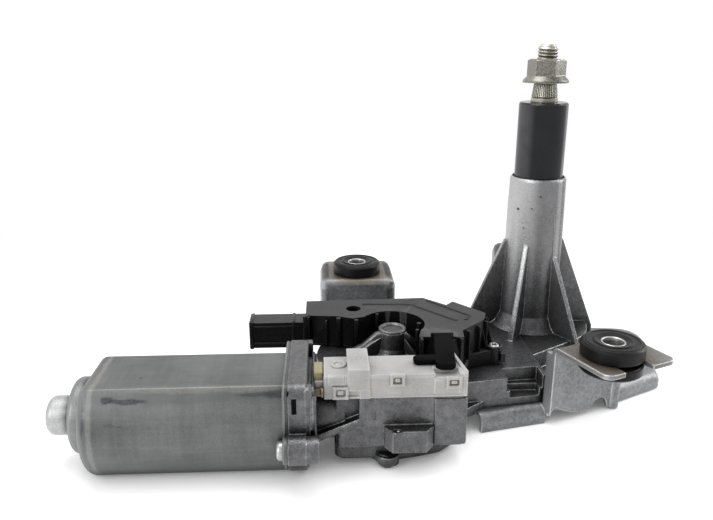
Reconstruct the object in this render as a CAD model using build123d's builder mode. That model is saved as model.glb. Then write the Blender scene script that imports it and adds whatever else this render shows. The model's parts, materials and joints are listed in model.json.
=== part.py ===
from build123d import *
from math import acos, atan2, cos, degrees, hypot, pi, radians, sin, sqrt
import os

os.makedirs("parts", exist_ok=True)

# A rear-window wiper motor. The frame's origin is on the spindle axis at the tower's shoulder,
# +X runs along the motor towards the spindle, +Z is up along the spindle. Millimetres.

# Heights above the bench
shoulder_height = 81.2        # tower shoulder above the bench
bench = -shoulder_height
cover_sheet = 1.6             # steel sheet of the bracket
joint_plane = bench + 6.6     # where the casting sits on the bracket
motor_z = bench + 16.0        # height of the armature axis

# Motor and worm drive
motor_y = -72.2
centre_distance = 28.0        # armature axis to worm wheel axis
wheel_x = -64.3
wheel_y = motor_y + centre_distance
gear_module = 1.25
wheel_teeth = 38
wheel_pitch_r = gear_module * wheel_teeth / 2
worm_pitch_r = centre_distance - wheel_pitch_r
worm_lead = pi * gear_module  # a single-start worm
worm_length = 25.0
mesh_gap = 0.45               # play between thread and tooth, side to side
tip_gap = 0.35                # play between thread tip and tooth root
wheel_face = 8.0              # width of the toothed rim
axle_r = 3.6
running_gap = 0.05            # radial play of every running fit
seat_gap = 0.05               # radial play of every still fit
overcut = 1.0                 # how far a cut starts outside the face it opens

# Motor can: a tube with a flat top and a flat bottom
yoke_r = 19.5
yoke_flat = 15.3              # axis to flat
yoke_wall = 1.6
yoke_length = 65.5
yoke_step_r = 12.6
yoke_step = 5.0
yoke_boss_r = 6.5
yoke_boss = 9.0
yoke_rounds = (3.2, 2.0, 2.4)  # corner radii of the can's end, its step and its bearing boss
flange_x = -101.0             # face where can and casting meet
yoke_flange = 1.5
housing_flange = 5.6
flange_step = 2.4             # smaller raised step on its right side
flange_front = 19.6           # flange edge in front of and behind the axis
flange_top = 18.0
flange_bottom = 15.0
flange_corner = 9.0           # lower corners; the upper ones are sharper
flange_top_corner = 4.0
lug_r = 4.6
lug_out = 22.6                # axis to flange screw
lug_drop = 1.4
lug_height = 4.0
screw_m4_r = 2.0
screw_m4_head_r = 3.0
screw_m4_head = 2.2

# Armature
shaft_r = 2.5
core_r = 11.8
core_length = 30.0
core_slots = 10
magnet_gap = 0.7
magnet_overhang = 3.0         # magnets reach past the core at each end
magnet_height = 21.0
slot_middle_r = 8.2
slot_size = (5.0, 3.0)
slot_mouth = 1.0
winding_bulge = 6.0           # length of the end turns
commutator_r = 6.0
commutator_length = 9.0
commutator_bars = 10
bar_gap = (1.4, 0.5)          # depth twice over and width of the gaps between bars

# Linkage: a crank on the wheel swings a lever on the spindle
lever_r = 17.0                # spindle axis to lever pin
swing = 109.0                 # sweep of the spindle
rest_angle = 33.3             # lever from the line of centres when parked
rod_floor = bench + 8.0
rod_thick = 2.3
stack_gap = 0.3
lever_thick = 2.5
link_pin_r = 3.0
rod_half = 3.4
eye_r = 5.6
lever_hub_r = 8.0
pin_depth = 5.1               # crank pin's length
pin_head = (4.4, 0.8)         # radius and thickness of the lever pin's head

# Spindle, tower and sleeve
spindle_r = 5.0
thread_r = 4.0                # M8 thread
thread_core_r = 3.35          # the thread's core, which fills the nut
thread_end = 52.0
sleeve_r = 9.75
sleeve_height = 29.8
collar_top = 31.5
spline_top = 37.4
nut_flange_r = 8.95
nut_flats = 13.0
nut_height = 9.0
nut_turn = -20.0
nut_flange = (0.9, 2.7)       # height of the flange's edge and of its cone
collar_rise = 0.35
taper_fall = 0.7              # loss of radius over the splined taper
tower_r = 11.3
tower_draft = 1.1             # growth of the tower's radius down to its foot
tower_wall_bore = 7.0
bush_r = 7.0
bush_length = 14.0
seal_height = 2.2
sleeve_bore = 7.6
sleeve_lid = 3.0              # closed top of the sleeve
rib_count = 6
rib_thick = 2.0
rib_top = bench + 54.0
low_rib_top = bench + 49.0    # the rib under the parting line
low_rib = 5                   # its number, counted from +X
parting_width = 0.9
parting_angle = -41.0
rib_foot_r = 28.8
rib_root_r = 9.0              # ribs start inside the tower's wall
rib_crown = 1.3               # ribs stand this far out of the tower at their top
parting_rise = 0.35

# Casting
case_r = 28.0                 # outer radius of the gear case
case_roof = bench + 22.7
chamber_r = 25.6
chamber_roof = bench + 20.9
link_roof = bench + 16.4
link_ceiling = bench + 13.7
link_r_wheel = 20.5           # link chamber's radius round the wheel axis
link_r_spindle = 22.9
casting_wall = 2.5
skirt = 3.0                   # thickness of the flange that sits on the bracket
skirt_out = 2.6
tunnel_front = 12.0           # front wall in front of the armature axis
tunnel_left = -86.0
tunnel_right = -43.8
tunnel_top = bench + 26.0
tunnel_bottom = bench + 8.3
corner_depth = 3.4            # recess over the diagonal web
boss_top = bench + 33.0
boss_r = 5.15
tunnel_bore = 6.2
bearing_r = 8.0
bearing_width = 5.0
pad_outline = [(-70.6, 2.0), (-70.6, -1.2), (-68.0, -4.6), (-57.2, -4.6), (-54.6, -1.2), (-54.6, 2.0)]
pad_span = (bench + 8.6, bench + 16.2)
lip_floor = bench + 3.4
web_width = 0.9               # half width of the two webs on the wheel boss
webs = ((208, 25.0), (330, 11.4))   # direction and reach of each
wing_left, wing_corner, wing_right = -41.0, -24.4, -8.2
pocket_floor = bench + 12.4
slot_floor = bench + 9.6

# Bracket ears, grommets and spacer sleeves
grommet_top = bench + 36.5
disc_thick = 5.2              # upper disc
low_disc_thick = 4.0
grommet_r = 10.8
grommet_neck = 7.0
ear_top = grommet_top - disc_thick
spacer_r = 4.7
spacer_bore = 3.5
spacer_length = 9.6
# name: centre, pointing direction, riser behind the centre, reach past it, half width, shift to left
ears = {
    "front": ((9.6, -67.0), -67.4, 14.0, 12.7, 15.4, 1.6),
    "rear_left": ((-73.9, 28.0), 90.0, 13.0, 16.0, 17.2, 0.0),
    "rear_right": ((15.0, 56.3), 76.0, 14.0, 13.5, 17.6, 0.0),
}
# circles whose common outline is the plate's lobe under the tower
lobe_circles = [((21.0, -41.0), 5.0), ((40.4, -29.6), 6.4), ((44.8, 4.8), 10.6), ((28.0, 5.6), 12.0)]
# the lobe's rim hangs down outside this line
lobe_rim_limit = [(19.0, -60.0), (19.0, -40.0), (33.0, -5.0), (33.0, 30.0), (-10.0, 30.0), (-10.0, -60.0)]
# lower edge of the front ear's riser: place along it, height above the bench
skirt_foot = [(-15.4, 3.4), (-14.8, 5.6), (-13.8, 6.9), (-12.4, 6.9), (-11.2, 5.9), (-8.4, 4.6), (-4.8, 3.2),
              (-1.0, 2.4), (2.0, 2.6), (4.2, 3.7), (6.2, 5.6), (8.4, 6.3), (10.4, 5.6), (11.8, 3.8),
              (12.6, 1.2)]
bead_r = 2.3                  # bead at the riser's right end
roll_r = 4.0                  # outer radius of the rolled rims
bend_r = 1.2                  # inner radius of the ears' bends
ear_corner = 3.0
rim_clear = 0.6               # rims end this far above the bench
front_edge = ((-33.6, -64.2), 12.7, 25.2)   # left end of the front rim, its direction and its length

# Electronics module, white cover and connector
module_top = bench + 35.0
module_floor = bench + 23.4
module_wall = 1.5
module_reach = 12.0           # hollow round the wheel boss
module_points = [(-96.4, -35.2), (-96.4, -20.0), (-49.3, -18.4), (-41.2, -26.8), (-38.0, -23.0),
                 (-27.6, -36.0), (-29.6, -42.4), (-39.6, -52.0), (-40.2, -58.4), (-56.0, -57.2),
                 (-53.4, -46.2), (-53.2, -40.0), (-59.0, -33.2), (-69.0, -33.2), (-74.0, -37.4),
                 (-78.6, -39.0), (-84.4, -36.4)]
board_height = 3.0            # circuit board above the tray
board_thick = 1.6
pillar_r = 4.2
pillar_bore = 2.9
cover_top = bench + 34.1
cover_bottom = tunnel_top
cover_wall = 1.3
cover_left = -90.0
module_lug_r = 3.2
module_screw_r = 1.3
module_screw_head_r = 2.1
wing_top = bench + 17.6
arm_x = -48.0
arm_width = 8.0
arm_reach = -81.6             # tip of the arm over the white cover
arm_root = -55.0
arm_thick = 2.2
connector_left = -118.2
connector_right = -97.6
connector_wall = 1.3
connector_end = 2.0           # closed end of the socket
connector_size = (9.2, 10.4)
pin_side = 0.7
pin_length = 11.0
connector_middle = (-28.7, bench + 26.2)

# Sizes that follow from the ones above
worm_tip_r = worm_pitch_r + 0.8 * gear_module
worm_root_r = worm_pitch_r - gear_module
wheel_tip_r = wheel_pitch_r + 0.8 * gear_module
wheel_root_r = centre_distance - worm_tip_r - tip_gap
lead_angle = degrees(atan2(worm_lead, 2 * pi * worm_pitch_r))
wheel_floor = motor_z - wheel_face / 2
wheel_roof = motor_z + wheel_face / 2
rod_top = rod_floor + rod_thick
lever_floor = rod_top + stack_gap
lever_top = lever_floor + lever_thick
centres = hypot(wheel_x, wheel_y)
centre_angle = degrees(atan2(-wheel_y, -wheel_x)) + 180
flange_right = flange_x + housing_flange
plug_left = flange_right + flange_step
yoke_end = flange_x - yoke_length
bracket_floor = joint_plane - cover_sheet
nut_top = spline_top + nut_height
tunnel_y = motor_y - tunnel_front


def span(angle):
    """Distance from the wheel axis to the lever pin for a lever angle off the line of centres."""
    return sqrt(centres ** 2 + lever_r ** 2 - 2 * centres * lever_r * cos(radians(angle)))


crank_r = (span(rest_angle + swing) - span(rest_angle)) / 2
rod_length = (span(rest_angle + swing) + span(rest_angle)) / 2
lever_angle = centre_angle + rest_angle
lever_pin = (lever_r * cos(radians(lever_angle)), lever_r * sin(radians(lever_angle)))
rod_angle = degrees(atan2(wheel_y - lever_pin[1], wheel_x - lever_pin[0]))
crank_pin_at = (wheel_x + crank_r * cos(radians(rod_angle)), wheel_y + crank_r * sin(radians(rod_angle)))


def level(z, point=(0, 0)):
    return Plane(origin=(point[0], point[1], z))


def across(x):
    """A plane square to the motor axis: its sketch coordinates are Y and Z off the armature axis."""
    return Plane(origin=(x, motor_y, motor_z), x_dir=(0, 1, 0), z_dir=(1, 0, 0))


def upright(angle, point=(0, 0)):
    """A vertical plane through a point: its sketch coordinates run outwards and up."""
    turn = radians(angle)
    outwards = (cos(turn), sin(turn), 0)
    return Plane(origin=(point[0], point[1], 0), x_dir=outwards, z_dir=(sin(turn), -cos(turn), 0))


def polar(centre, radius, angle):
    return (centre[0] + radius * cos(radians(angle)), centre[1] + radius * sin(radians(angle)))


wheel_centre = (wheel_x, wheel_y)
bracket_screw_r = 1.9
bracket_screw_head_r = 3.6
bracket_lug_r = 4.2
lug_circle = 29.5             # spindle axis to two of the bracket's screws
bracket_lugs = [polar(wheel_centre, case_r + 3.0, 152), polar(wheel_centre, case_r + 3.0, 96),
                polar((0, 0), lug_circle, 96), polar((0, 0), lug_circle, -28)]
contact_at = polar(wheel_centre, 18.0, 60)
flange_lugs = [(-lug_out, -lug_drop), (lug_out, lug_drop)]
module_screws = {"lug": (-25.3, -42.4), "boss": (-78.0, -29.0)}
contact_window = 7.2          # square hole in roof and tray for the park contacts
screw_seats = {"lug": wing_top, "boss": case_roof}
screw_depths = {"lug": 4.5, "boss": 1.4}


def ring(plane, outer, inner, height):
    """A plain ring standing on a plane."""
    with BuildPart() as hoop:
        with BuildSketch(plane):
            Circle(outer)
            Circle(inner, mode=Mode.SUBTRACT)
        extrude(amount=height)
    return hoop.part


def flange_sketch(margin):
    """Outline of the motor flange with its two screw lugs."""
    width = 2 * (flange_front + margin)
    height = flange_top + flange_bottom + 2 * margin
    with Locations((0, (flange_top - flange_bottom) / 2)):
        RectangleRounded(width, height, flange_corner)
    with Locations((0, flange_top + margin - height / 4)):
        RectangleRounded(width, height / 2, flange_top_corner)
    for lug in flange_lugs:
        with Locations(lug):
            Circle(lug_r + margin)


def d_sketch(radius, flat):
    """A circle with a flat top and a flat bottom."""
    Circle(radius)
    Rectangle(4 * radius, 2 * flat, mode=Mode.INTERSECT)


# Casting

def link_sketch(wheel_radius, spindle_radius):
    with Locations(wheel_centre):
        Circle(wheel_radius)
    Circle(spindle_radius)
    make_hull()


def tower_ribs():
    """Six tapering webs, straight at the top and flared into the foot."""
    with BuildPart() as webs:
        foot = link_roof - 2.0
        root = joint_plane + overcut
        for index in range(rib_count):
            angle = 360 / rib_count * index
            with BuildSketch(upright(angle)):
                with BuildLine():
                    top = low_rib_top if index == low_rib else rib_top
                    Polyline((rib_root_r, top), (tower_r + rib_crown, top), (rib_foot_r, foot),
                             (rib_foot_r, root), (rib_root_r, root), close=True)
                make_face()
            extrude(amount=rib_thick / 2, both=True)
        # parting line of the die, a low ridge down the tower
        with BuildSketch(upright(parting_angle)):
            with BuildLine():
                Polyline((rib_root_r, -0.8), (tower_r + parting_rise, -0.8),
                         (tower_r + tower_draft + parting_rise, link_roof + 8), (rib_root_r, link_roof + 8),
                         close=True)
            make_face()
        extrude(amount=parting_width / 2, both=True)
    return webs.part


def tunnel_body():
    """The worm's tunnel with its front wall, neck, screw pad, lower lip and foot."""
    with BuildPart() as tunnel:
        depth = tunnel_front + 14.0
        with BuildSketch(level(tunnel_bottom)):
            with Locations(((tunnel_left + tunnel_right) / 2, tunnel_y + depth / 2)):
                RectangleRounded(tunnel_right - tunnel_left, depth, 2.0)
        extrude(amount=tunnel_top - tunnel_bottom)
        # the wall's upper left corner lies further back, above the diagonal web
        with BuildSketch(Plane(origin=(0, tunnel_y, 0), x_dir=(1, 0, 0), z_dir=(0, -1, 0))):
            with BuildLine():
                Polyline((tunnel_left - 1, bench + 14.6), (tunnel_left + 12.4, bench + 19.6),
                         (tunnel_left + 12.4, tunnel_top + 1), (tunnel_left - 1, tunnel_top + 1), close=True)
            make_face()
            with Locations((tunnel_left + 8.6, tunnel_top)):
                Rectangle(2.4, 40.0, mode=Mode.SUBTRACT)
        extrude(amount=-corner_depth, mode=Mode.SUBTRACT)
        with BuildSketch(across(flange_right)):
            Circle(tunnel_top - motor_z - 0.6)
        extrude(amount=tunnel_left - flange_right + 3.0)
        # diagonal web from the flange up to the front wall
        with BuildSketch(Plane(origin=(0, tunnel_y + 0.2, 0), x_dir=(1, 0, 0), z_dir=(0, -1, 0))):
            with BuildLine():
                Polyline((flange_right, bench + 9.0), (tunnel_left + 12.0, bench + 18.3),
                         (tunnel_left + 12.0, bench + 20.3), (flange_right, bench + 11.6), close=True)
            make_face()
        extrude(amount=-tunnel_front - 1.0)
        # screw pad on the front wall
        with BuildSketch(level(pad_span[0])):
            with BuildLine():
                Polyline(*[(x, tunnel_y + out) for x, out in pad_outline], close=True)
            make_face()
        extrude(amount=pad_span[1] - pad_span[0])
        # lower lip and foot in front of the bracket
        with BuildSketch(level(lip_floor)):
            with Locations((-73.0, tunnel_y + 6.0)):
                RectangleRounded(27.0, 8.0, 2.5)
        extrude(amount=tunnel_bottom - lip_floor)
        with BuildSketch(level(bench, (-68.0, tunnel_y + 4.0))):
            Circle(3.0)
        extrude(amount=4.0)
    return tunnel.part


def wheel_boss():
    """The thick boss that holds the wheel's axle, with two thin webs."""
    with BuildPart() as boss:
        with BuildSketch(upright(0, wheel_centre)):
            with BuildLine():
                Polyline((0, case_roof - 1), (9.0, case_roof - 1), (8.2, case_roof + 0.4),
                         (6.3, case_roof + 1.6), (boss_r + 0.4, case_roof + 3.6), (boss_r, boss_top - 0.7),
                         (boss_r - 0.7, boss_top), (0, boss_top), close=True)
            make_face()
        revolve(axis=Axis((wheel_x, wheel_y, 0), (0, 0, 1)))
        for angle, reach in webs:
            with BuildSketch(upright(angle, wheel_centre)):
                with BuildLine():
                    Polyline((3, case_roof - 1), (reach, case_roof - 1), (reach, case_roof + 0.6),
                             (boss_r - 0.5, boss_top - 2.0), (3, boss_top - 2.0), close=True)
                make_face()
            extrude(amount=web_width, both=True)
    return boss.part


def front_wing():
    """The boxy wing in front of the tower with its open pocket."""
    with BuildPart() as wing:
        with BuildSketch(level(joint_plane)):
            with BuildLine():
                Polyline((wing_left, -59.6), (wing_corner, -57.0), (wing_right, -54.4), (wing_right, -14.0),
                         (wing_left, -26.0), close=True)
            make_face()
        extrude(amount=wing_top - joint_plane)
        with BuildSketch(level(pocket_floor)):
            with BuildLine():
                Polyline((wing_corner + 1.2, -60.0), (wing_right - 1.4, -58.0), (wing_right - 1.4, -47.4),
                         (wing_corner + 1.2, -48.6), close=True)
            make_face()
        extrude(amount=10, mode=Mode.SUBTRACT)
        with BuildSketch(level(slot_floor)):
            with Locations(((wing_corner + wing_right) / 2, -54.4)):
                Rectangle(wing_right - wing_corner - 5.0, 7.4)
        extrude(amount=4, mode=Mode.SUBTRACT)
    return wing.part


def make_gear_housing():
    with BuildPart() as gear_housing:
        with BuildSketch(level(joint_plane)):
            link_sketch(link_r_wheel + casting_wall, link_r_spindle + casting_wall)
        extrude(amount=link_roof - joint_plane)
        with BuildSketch(level(joint_plane)):
            link_sketch(case_r + skirt_out, link_r_spindle + casting_wall + skirt_out)
            with Locations((wheel_x, tunnel_y)):
                Rectangle(4 * case_r, 2 * (tunnel_front - 2.0), mode=Mode.SUBTRACT)
        extrude(amount=skirt)
        with BuildSketch(level(joint_plane, wheel_centre)):
            Circle(case_r)
        extrude(amount=case_roof - joint_plane)
        for lug in bracket_lugs:
            with BuildSketch(level(joint_plane, lug)):
                Circle(bracket_lug_r)
            extrude(amount=8.0)
        add(front_wing())
        add(tunnel_body())
        add(wheel_boss())
        # flange that carries the motor can
        with BuildSketch(across(flange_x)):
            flange_sketch(0)
        extrude(amount=housing_flange)
        with BuildSketch(across(flange_right)):
            with Locations((0, (flange_top - flange_bottom) / 2)):
                RectangleRounded(2 * flange_front - 6.4, flange_top + flange_bottom - 6.4, flange_corner)
        extrude(amount=flange_step)
        for lug in flange_lugs:
            with BuildSketch(across(flange_right)):
                with Locations(lug):
                    Circle(lug_r - 0.4)
            extrude(amount=lug_height)
        # tower
        with BuildSketch(upright(0)):
            with BuildLine():
                Polyline((0, link_roof - 1), (tower_r + tower_draft + 5, link_roof - 1),
                         (tower_r + tower_draft + 2.2, link_roof + 1.6),
                         (tower_r + tower_draft, link_roof + 6), (tower_r, -1.0), (tower_r - 0.6, 0), (0, 0),
                         close=True)
            make_face()
        revolve(axis=Axis.Z)
        add(tower_ribs())
        # bores and chambers
        with BuildSketch(level(joint_plane - overcut, wheel_centre)):
            Circle(chamber_r)
        extrude(amount=chamber_roof - joint_plane + overcut, mode=Mode.SUBTRACT)
        with BuildSketch(level(joint_plane - overcut)):
            link_sketch(link_r_wheel, link_r_spindle)
        extrude(amount=link_ceiling - joint_plane + overcut, mode=Mode.SUBTRACT)
        with BuildSketch(level(chamber_roof - overcut, wheel_centre)):
            Circle(axle_r + seat_gap)
        extrude(amount=boss_top - chamber_roof + 2, mode=Mode.SUBTRACT)
        with BuildSketch(level(link_ceiling - overcut)):
            Circle(tower_wall_bore + seat_gap)
        extrude(amount=-link_ceiling + 2, mode=Mode.SUBTRACT)
        # shallow groove round the sleeve's seat
        with BuildSketch(level(-1.2)):
            Circle(tower_r - 0.75)
            Circle(sleeve_r - 0.2, mode=Mode.SUBTRACT)
        extrude(amount=2, mode=Mode.SUBTRACT)
        with BuildSketch(across(flange_x - overcut)):
            Circle(tunnel_bore)
        extrude(amount=tunnel_right - flange_x - 2.0, mode=Mode.SUBTRACT)
        with BuildSketch(across(flange_x - overcut)):
            Circle(bearing_r + seat_gap)
        extrude(amount=overcut + housing_flange + bearing_width, mode=Mode.SUBTRACT)
        with BuildSketch(across(flange_x - overcut)):
            Circle(yoke_flat - yoke_wall)
        extrude(amount=overcut + housing_flange - 2.4, mode=Mode.SUBTRACT)
        # screw holes
        for lug in bracket_lugs:
            with BuildSketch(level(joint_plane - overcut, lug)):
                Circle(bracket_screw_r + seat_gap)
            extrude(amount=7.5, mode=Mode.SUBTRACT)
        for lug in flange_lugs:
            with BuildSketch(across(flange_x - overcut)):
                with Locations(lug):
                    Circle(screw_m4_r + seat_gap)
            extrude(amount=housing_flange + lug_height, mode=Mode.SUBTRACT)
        for name, place in module_screws.items():
            with BuildSketch(level(screw_seats[name] + 1, place)):
                Circle(module_screw_r + seat_gap)
            extrude(amount=-1.1 - screw_depths[name], mode=Mode.SUBTRACT)
        # window for the park contacts
        with BuildSketch(level(chamber_roof - overcut, contact_at)):
            Rectangle(contact_window, contact_window)
        extrude(amount=case_roof - chamber_roof + 2, mode=Mode.SUBTRACT)
    gear_housing.part.label = "gear_housing"
    export_step(gear_housing.part, "parts/gear_housing.step")


# Motor

def make_motor_yoke():
    with BuildPart() as motor_yoke:
        with BuildSketch(across(yoke_end)):
            d_sketch(yoke_r, yoke_flat)
        extrude(amount=yoke_length)
        fillet(motor_yoke.faces().sort_by(Axis.X)[0].edges(), radius=yoke_rounds[0])
        with BuildSketch(across(yoke_end + 1)):
            Circle(yoke_step_r)
        extrude(amount=-yoke_step - 1)
        fillet(motor_yoke.faces().sort_by(Axis.X)[0].edges(), radius=yoke_rounds[1])
        with BuildSketch(across(yoke_end - yoke_step + 1)):
            Circle(yoke_boss_r)
        extrude(amount=-yoke_boss - 1)
        fillet(motor_yoke.faces().sort_by(Axis.X)[0].edges(), radius=yoke_rounds[2])
        with BuildSketch(across(flange_x - yoke_flange)):
            flange_sketch(-0.4)
        extrude(amount=yoke_flange)
        with BuildSketch(across(yoke_end + yoke_wall)):
            d_sketch(yoke_r - yoke_wall, yoke_flat - yoke_wall)
        extrude(amount=yoke_length, mode=Mode.SUBTRACT)
        with BuildSketch(across(yoke_end + yoke_wall + 1)):
            Circle(yoke_step_r - yoke_wall)
        extrude(amount=-yoke_step - 1, mode=Mode.SUBTRACT)
        with BuildSketch(across(yoke_end - yoke_step + yoke_wall + 1)):
            Circle(yoke_boss_r - yoke_wall)
        extrude(amount=-yoke_boss - 1, mode=Mode.SUBTRACT)
        with BuildSketch(across(flange_x + 1)):
            for lug in flange_lugs:
                with Locations(lug):
                    Circle(screw_m4_r + 0.25)
        extrude(amount=-yoke_flange - 2, mode=Mode.SUBTRACT)
    motor_yoke.part.label = "motor_yoke"
    export_step(motor_yoke.part, "parts/motor_yoke.step")


def make_yoke_screws():
    with BuildPart() as yoke_screws:
        for lug in flange_lugs:
            with BuildSketch(across(flange_x - yoke_flange)):
                with Locations(lug):
                    Circle(screw_m4_r)
            extrude(amount=yoke_flange + housing_flange + 1.5)
            with BuildSketch(across(flange_x - yoke_flange)):
                with Locations(lug):
                    Circle(screw_m4_head_r)
            extrude(amount=-screw_m4_head)
        heads = yoke_screws.faces().filter_by(Axis.X).group_by(Axis.X)[0]
        fillet(heads.edges(), radius=1.0)
    yoke_screws.part.label = "yoke_screws"
    export_step(yoke_screws.part, "parts/yoke_screws.step")


holder_thick = 2.1
holder_left = flange_x - holder_thick
commutator_left = holder_left - 0.4 - commutator_length
core_right = commutator_left - 8.0
core_left = core_right - core_length


def make_magnets():
    """Two curved ferrite magnets, in front of and behind the armature."""
    for name, side in (("front", -1), ("rear", 1)):
        with BuildPart() as magnet:
            with BuildSketch(across(core_left - magnet_overhang)):
                Circle(yoke_r - yoke_wall - seat_gap)
                Circle(core_r + magnet_gap, mode=Mode.SUBTRACT)
                with Locations((side * yoke_r, 0)):
                    Rectangle(2 * yoke_r, magnet_height, mode=Mode.INTERSECT)
            extrude(amount=core_length + 2 * magnet_overhang)
        magnet.part.label = f"magnet_{name}"
        export_step(magnet.part, f"parts/magnet_{name}.step")


def make_end_bearing():
    with BuildPart() as end_bearing:
        left = yoke_end - yoke_step - yoke_boss + yoke_wall + 1.2
        add(ring(across(left), yoke_boss_r - yoke_wall - seat_gap, shaft_r + running_gap, 8.0))
    end_bearing.part.label = "end_bearing"
    export_step(end_bearing.part, "parts/end_bearing.step")


def make_front_bearing():
    with BuildPart() as front_bearing:
        add(ring(across(flange_right), bearing_r, shaft_r + running_gap, bearing_width))
    front_bearing.part.label = "front_bearing"
    export_step(front_bearing.part, "parts/front_bearing.step")


shaft_left = yoke_end - yoke_step - yoke_boss + yoke_wall + 1.4
shaft_right = tunnel_right - 6.5
worm_left = wheel_x - worm_length / 2
worm_turns = 5.5
thread_left = wheel_x - worm_turns / 2 * worm_lead


def make_armature_shaft():
    """The shaft with its rolled worm; the thread's middle faces the wheel."""
    with BuildPart() as armature_shaft:
        with BuildSketch(across(shaft_left)):
            Circle(shaft_r)
        extrude(amount=shaft_right - shaft_left)
        with BuildSketch(across(worm_left)):
            Circle(worm_root_r)
        extrude(amount=worm_length)
        with BuildLine() as path:
            Helix(pitch=worm_lead, height=worm_turns * worm_lead, radius=worm_pitch_r,
                  center=(thread_left, motor_y, motor_z), direction=(1, 0, 0))
        with BuildSketch(Plane(origin=path.line @ 0, x_dir=(0, 0, 1), z_dir=path.line % 0)):
            root = worm_root_r - worm_pitch_r - 0.15
            tip = worm_tip_r - worm_pitch_r
            half = worm_lead / 4 - mesh_gap / 4
            with BuildLine():
                Polyline((root, -half + root * 0.36), (tip, -half + tip * 0.36), (tip, half - tip * 0.36),
                         (root, half - root * 0.36), close=True)
            make_face()
        sweep(path=path.line, is_frenet=True)
    armature_shaft.part.label = "armature_shaft"
    export_step(armature_shaft.part, "parts/armature_shaft.step")


def core_slot(plane, margin, length):
    """One winding slot of the armature core, or the copper in it."""
    with BuildPart() as slot:
        with BuildSketch(plane):
            with Locations((slot_middle_r, 0)):
                RectangleRounded(slot_size[0] - margin, slot_size[1] - margin, 0.6)
        extrude(amount=length)
    return slot.part


def spoke_plane(x, index):
    turn = 2 * pi * index / core_slots
    return Plane(origin=(x, motor_y, motor_z), x_dir=(0, cos(turn), sin(turn)), z_dir=(1, 0, 0))


def make_armature_core():
    with BuildPart() as armature_core:
        add(ring(across(core_left), core_r, shaft_r, core_length))
        for index in range(core_slots):
            add(core_slot(spoke_plane(core_left - overcut, index), 0, core_length + 2 * overcut),
                mode=Mode.SUBTRACT)
            with BuildSketch(spoke_plane(core_left - overcut, index)):
                with Locations((core_r, 0)):
                    Rectangle(slot_size[0], slot_mouth)
            extrude(amount=core_length + 2 * overcut, mode=Mode.SUBTRACT)
    armature_core.part.label = "armature_core"
    export_step(armature_core.part, "parts/armature_core.step")


def make_armature_windings():
    """Copper in the slots and the two bulging end turns."""
    with BuildPart() as armature_windings:
        for index in range(core_slots):
            add(core_slot(spoke_plane(core_left - overcut, index), 0.1, core_length + 2 * overcut))
        for x, way in ((core_left - 0.2, -1), (core_right + 0.2, 1)):
            with BuildSketch(across(x)):
                Circle(core_r - 1.0)
                Circle(shaft_r + 0.6, mode=Mode.SUBTRACT)
            extrude(amount=way * winding_bulge)
    armature_windings.part.label = "armature_windings"
    export_step(armature_windings.part, "parts/armature_windings.step")


def make_commutator():
    with BuildPart() as commutator:
        add(ring(across(commutator_left), commutator_r, shaft_r, commutator_length))
        for index in range(commutator_bars):
            turn = 2 * pi * (index + 0.5) / commutator_bars
            with BuildSketch(Plane(origin=(commutator_left - overcut, motor_y, motor_z),
                                   x_dir=(0, cos(turn), sin(turn)), z_dir=(1, 0, 0))):
                with Locations((commutator_r, 0)):
                    Rectangle(*bar_gap)
            extrude(amount=commutator_length + 2 * overcut, mode=Mode.SUBTRACT)
    commutator.part.label = "commutator"
    export_step(commutator.part, "parts/commutator.step")


brush_x = commutator_left + commutator_length / 2
brush_size = (4.6, 5.2)


def make_brush_holder():
    """Plastic plate in the can's mouth with two boxes that guide the brushes."""
    with BuildPart() as brush_holder:
        with BuildSketch(across(holder_left)):
            d_sketch(yoke_r - yoke_wall - seat_gap, yoke_flat - yoke_wall - seat_gap)
            Circle(commutator_r + 1.0, mode=Mode.SUBTRACT)
        extrude(amount=flange_x - holder_left)
        for side in (-1, 1):
            with BuildSketch(across(holder_left)):
                with Locations((side * 11.4, 0)):
                    Rectangle(8.4, brush_size[1] + 2.4)
            extrude(amount=-commutator_length - 0.2)
            with BuildSketch(across(brush_x - brush_size[0] / 2 - 0.1)):
                with Locations((side * 10.6, 0)):
                    Rectangle(8.4, brush_size[1] + 0.2)
            extrude(amount=brush_size[0] + 0.2, mode=Mode.SUBTRACT)
    brush_holder.part.label = "brush_holder"
    export_step(brush_holder.part, "parts/brush_holder.step")


def make_brushes():
    with BuildPart() as carbon_brushes:
        for side in (-1, 1):
            with BuildSketch(across(brush_x - brush_size[0] / 2)):
                with Locations((side * 9.0, 0)):
                    Rectangle(6.4, brush_size[1])
                Circle(commutator_r + 0.15, mode=Mode.SUBTRACT)
            extrude(amount=brush_size[0])
    carbon_brushes.part.label = "carbon_brushes"
    export_step(carbon_brushes.part, "parts/carbon_brushes.step")


spring_points = [(12.4, -2.2), (12.4, 2.2), (12.8, 2.2), (12.8, -1.6), (13.5, 2.2), (14.6, 2.2),
                 (14.6, -2.2), (14.2, -2.2), (14.2, 1.4), (13.3, -2.2)]


def make_brush_springs():
    """A flat zigzag spring behind each brush."""
    with BuildPart() as brush_springs:
        for side in (-1, 1):
            with BuildSketch(across(brush_x - 1.4)):
                with BuildLine():
                    Polyline(*[(side * out, height) for out, height in spring_points], close=True)
                make_face()
            extrude(amount=2.8)
    brush_springs.part.label = "brush_springs"
    export_step(brush_springs.part, "parts/brush_springs.step")


def make_thrust_plug():
    """Screwed plug that takes the worm's end thrust."""
    with BuildPart() as thrust_plug:
        with BuildSketch(across(shaft_right + 0.2)):
            Circle(tunnel_bore - seat_gap)
        extrude(amount=tunnel_right - 3.0 - seat_gap - shaft_right - 0.2)
    thrust_plug.part.label = "thrust_plug"
    export_step(thrust_plug.part, "parts/thrust_plug.step")


# Worm wheel and linkage

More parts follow.
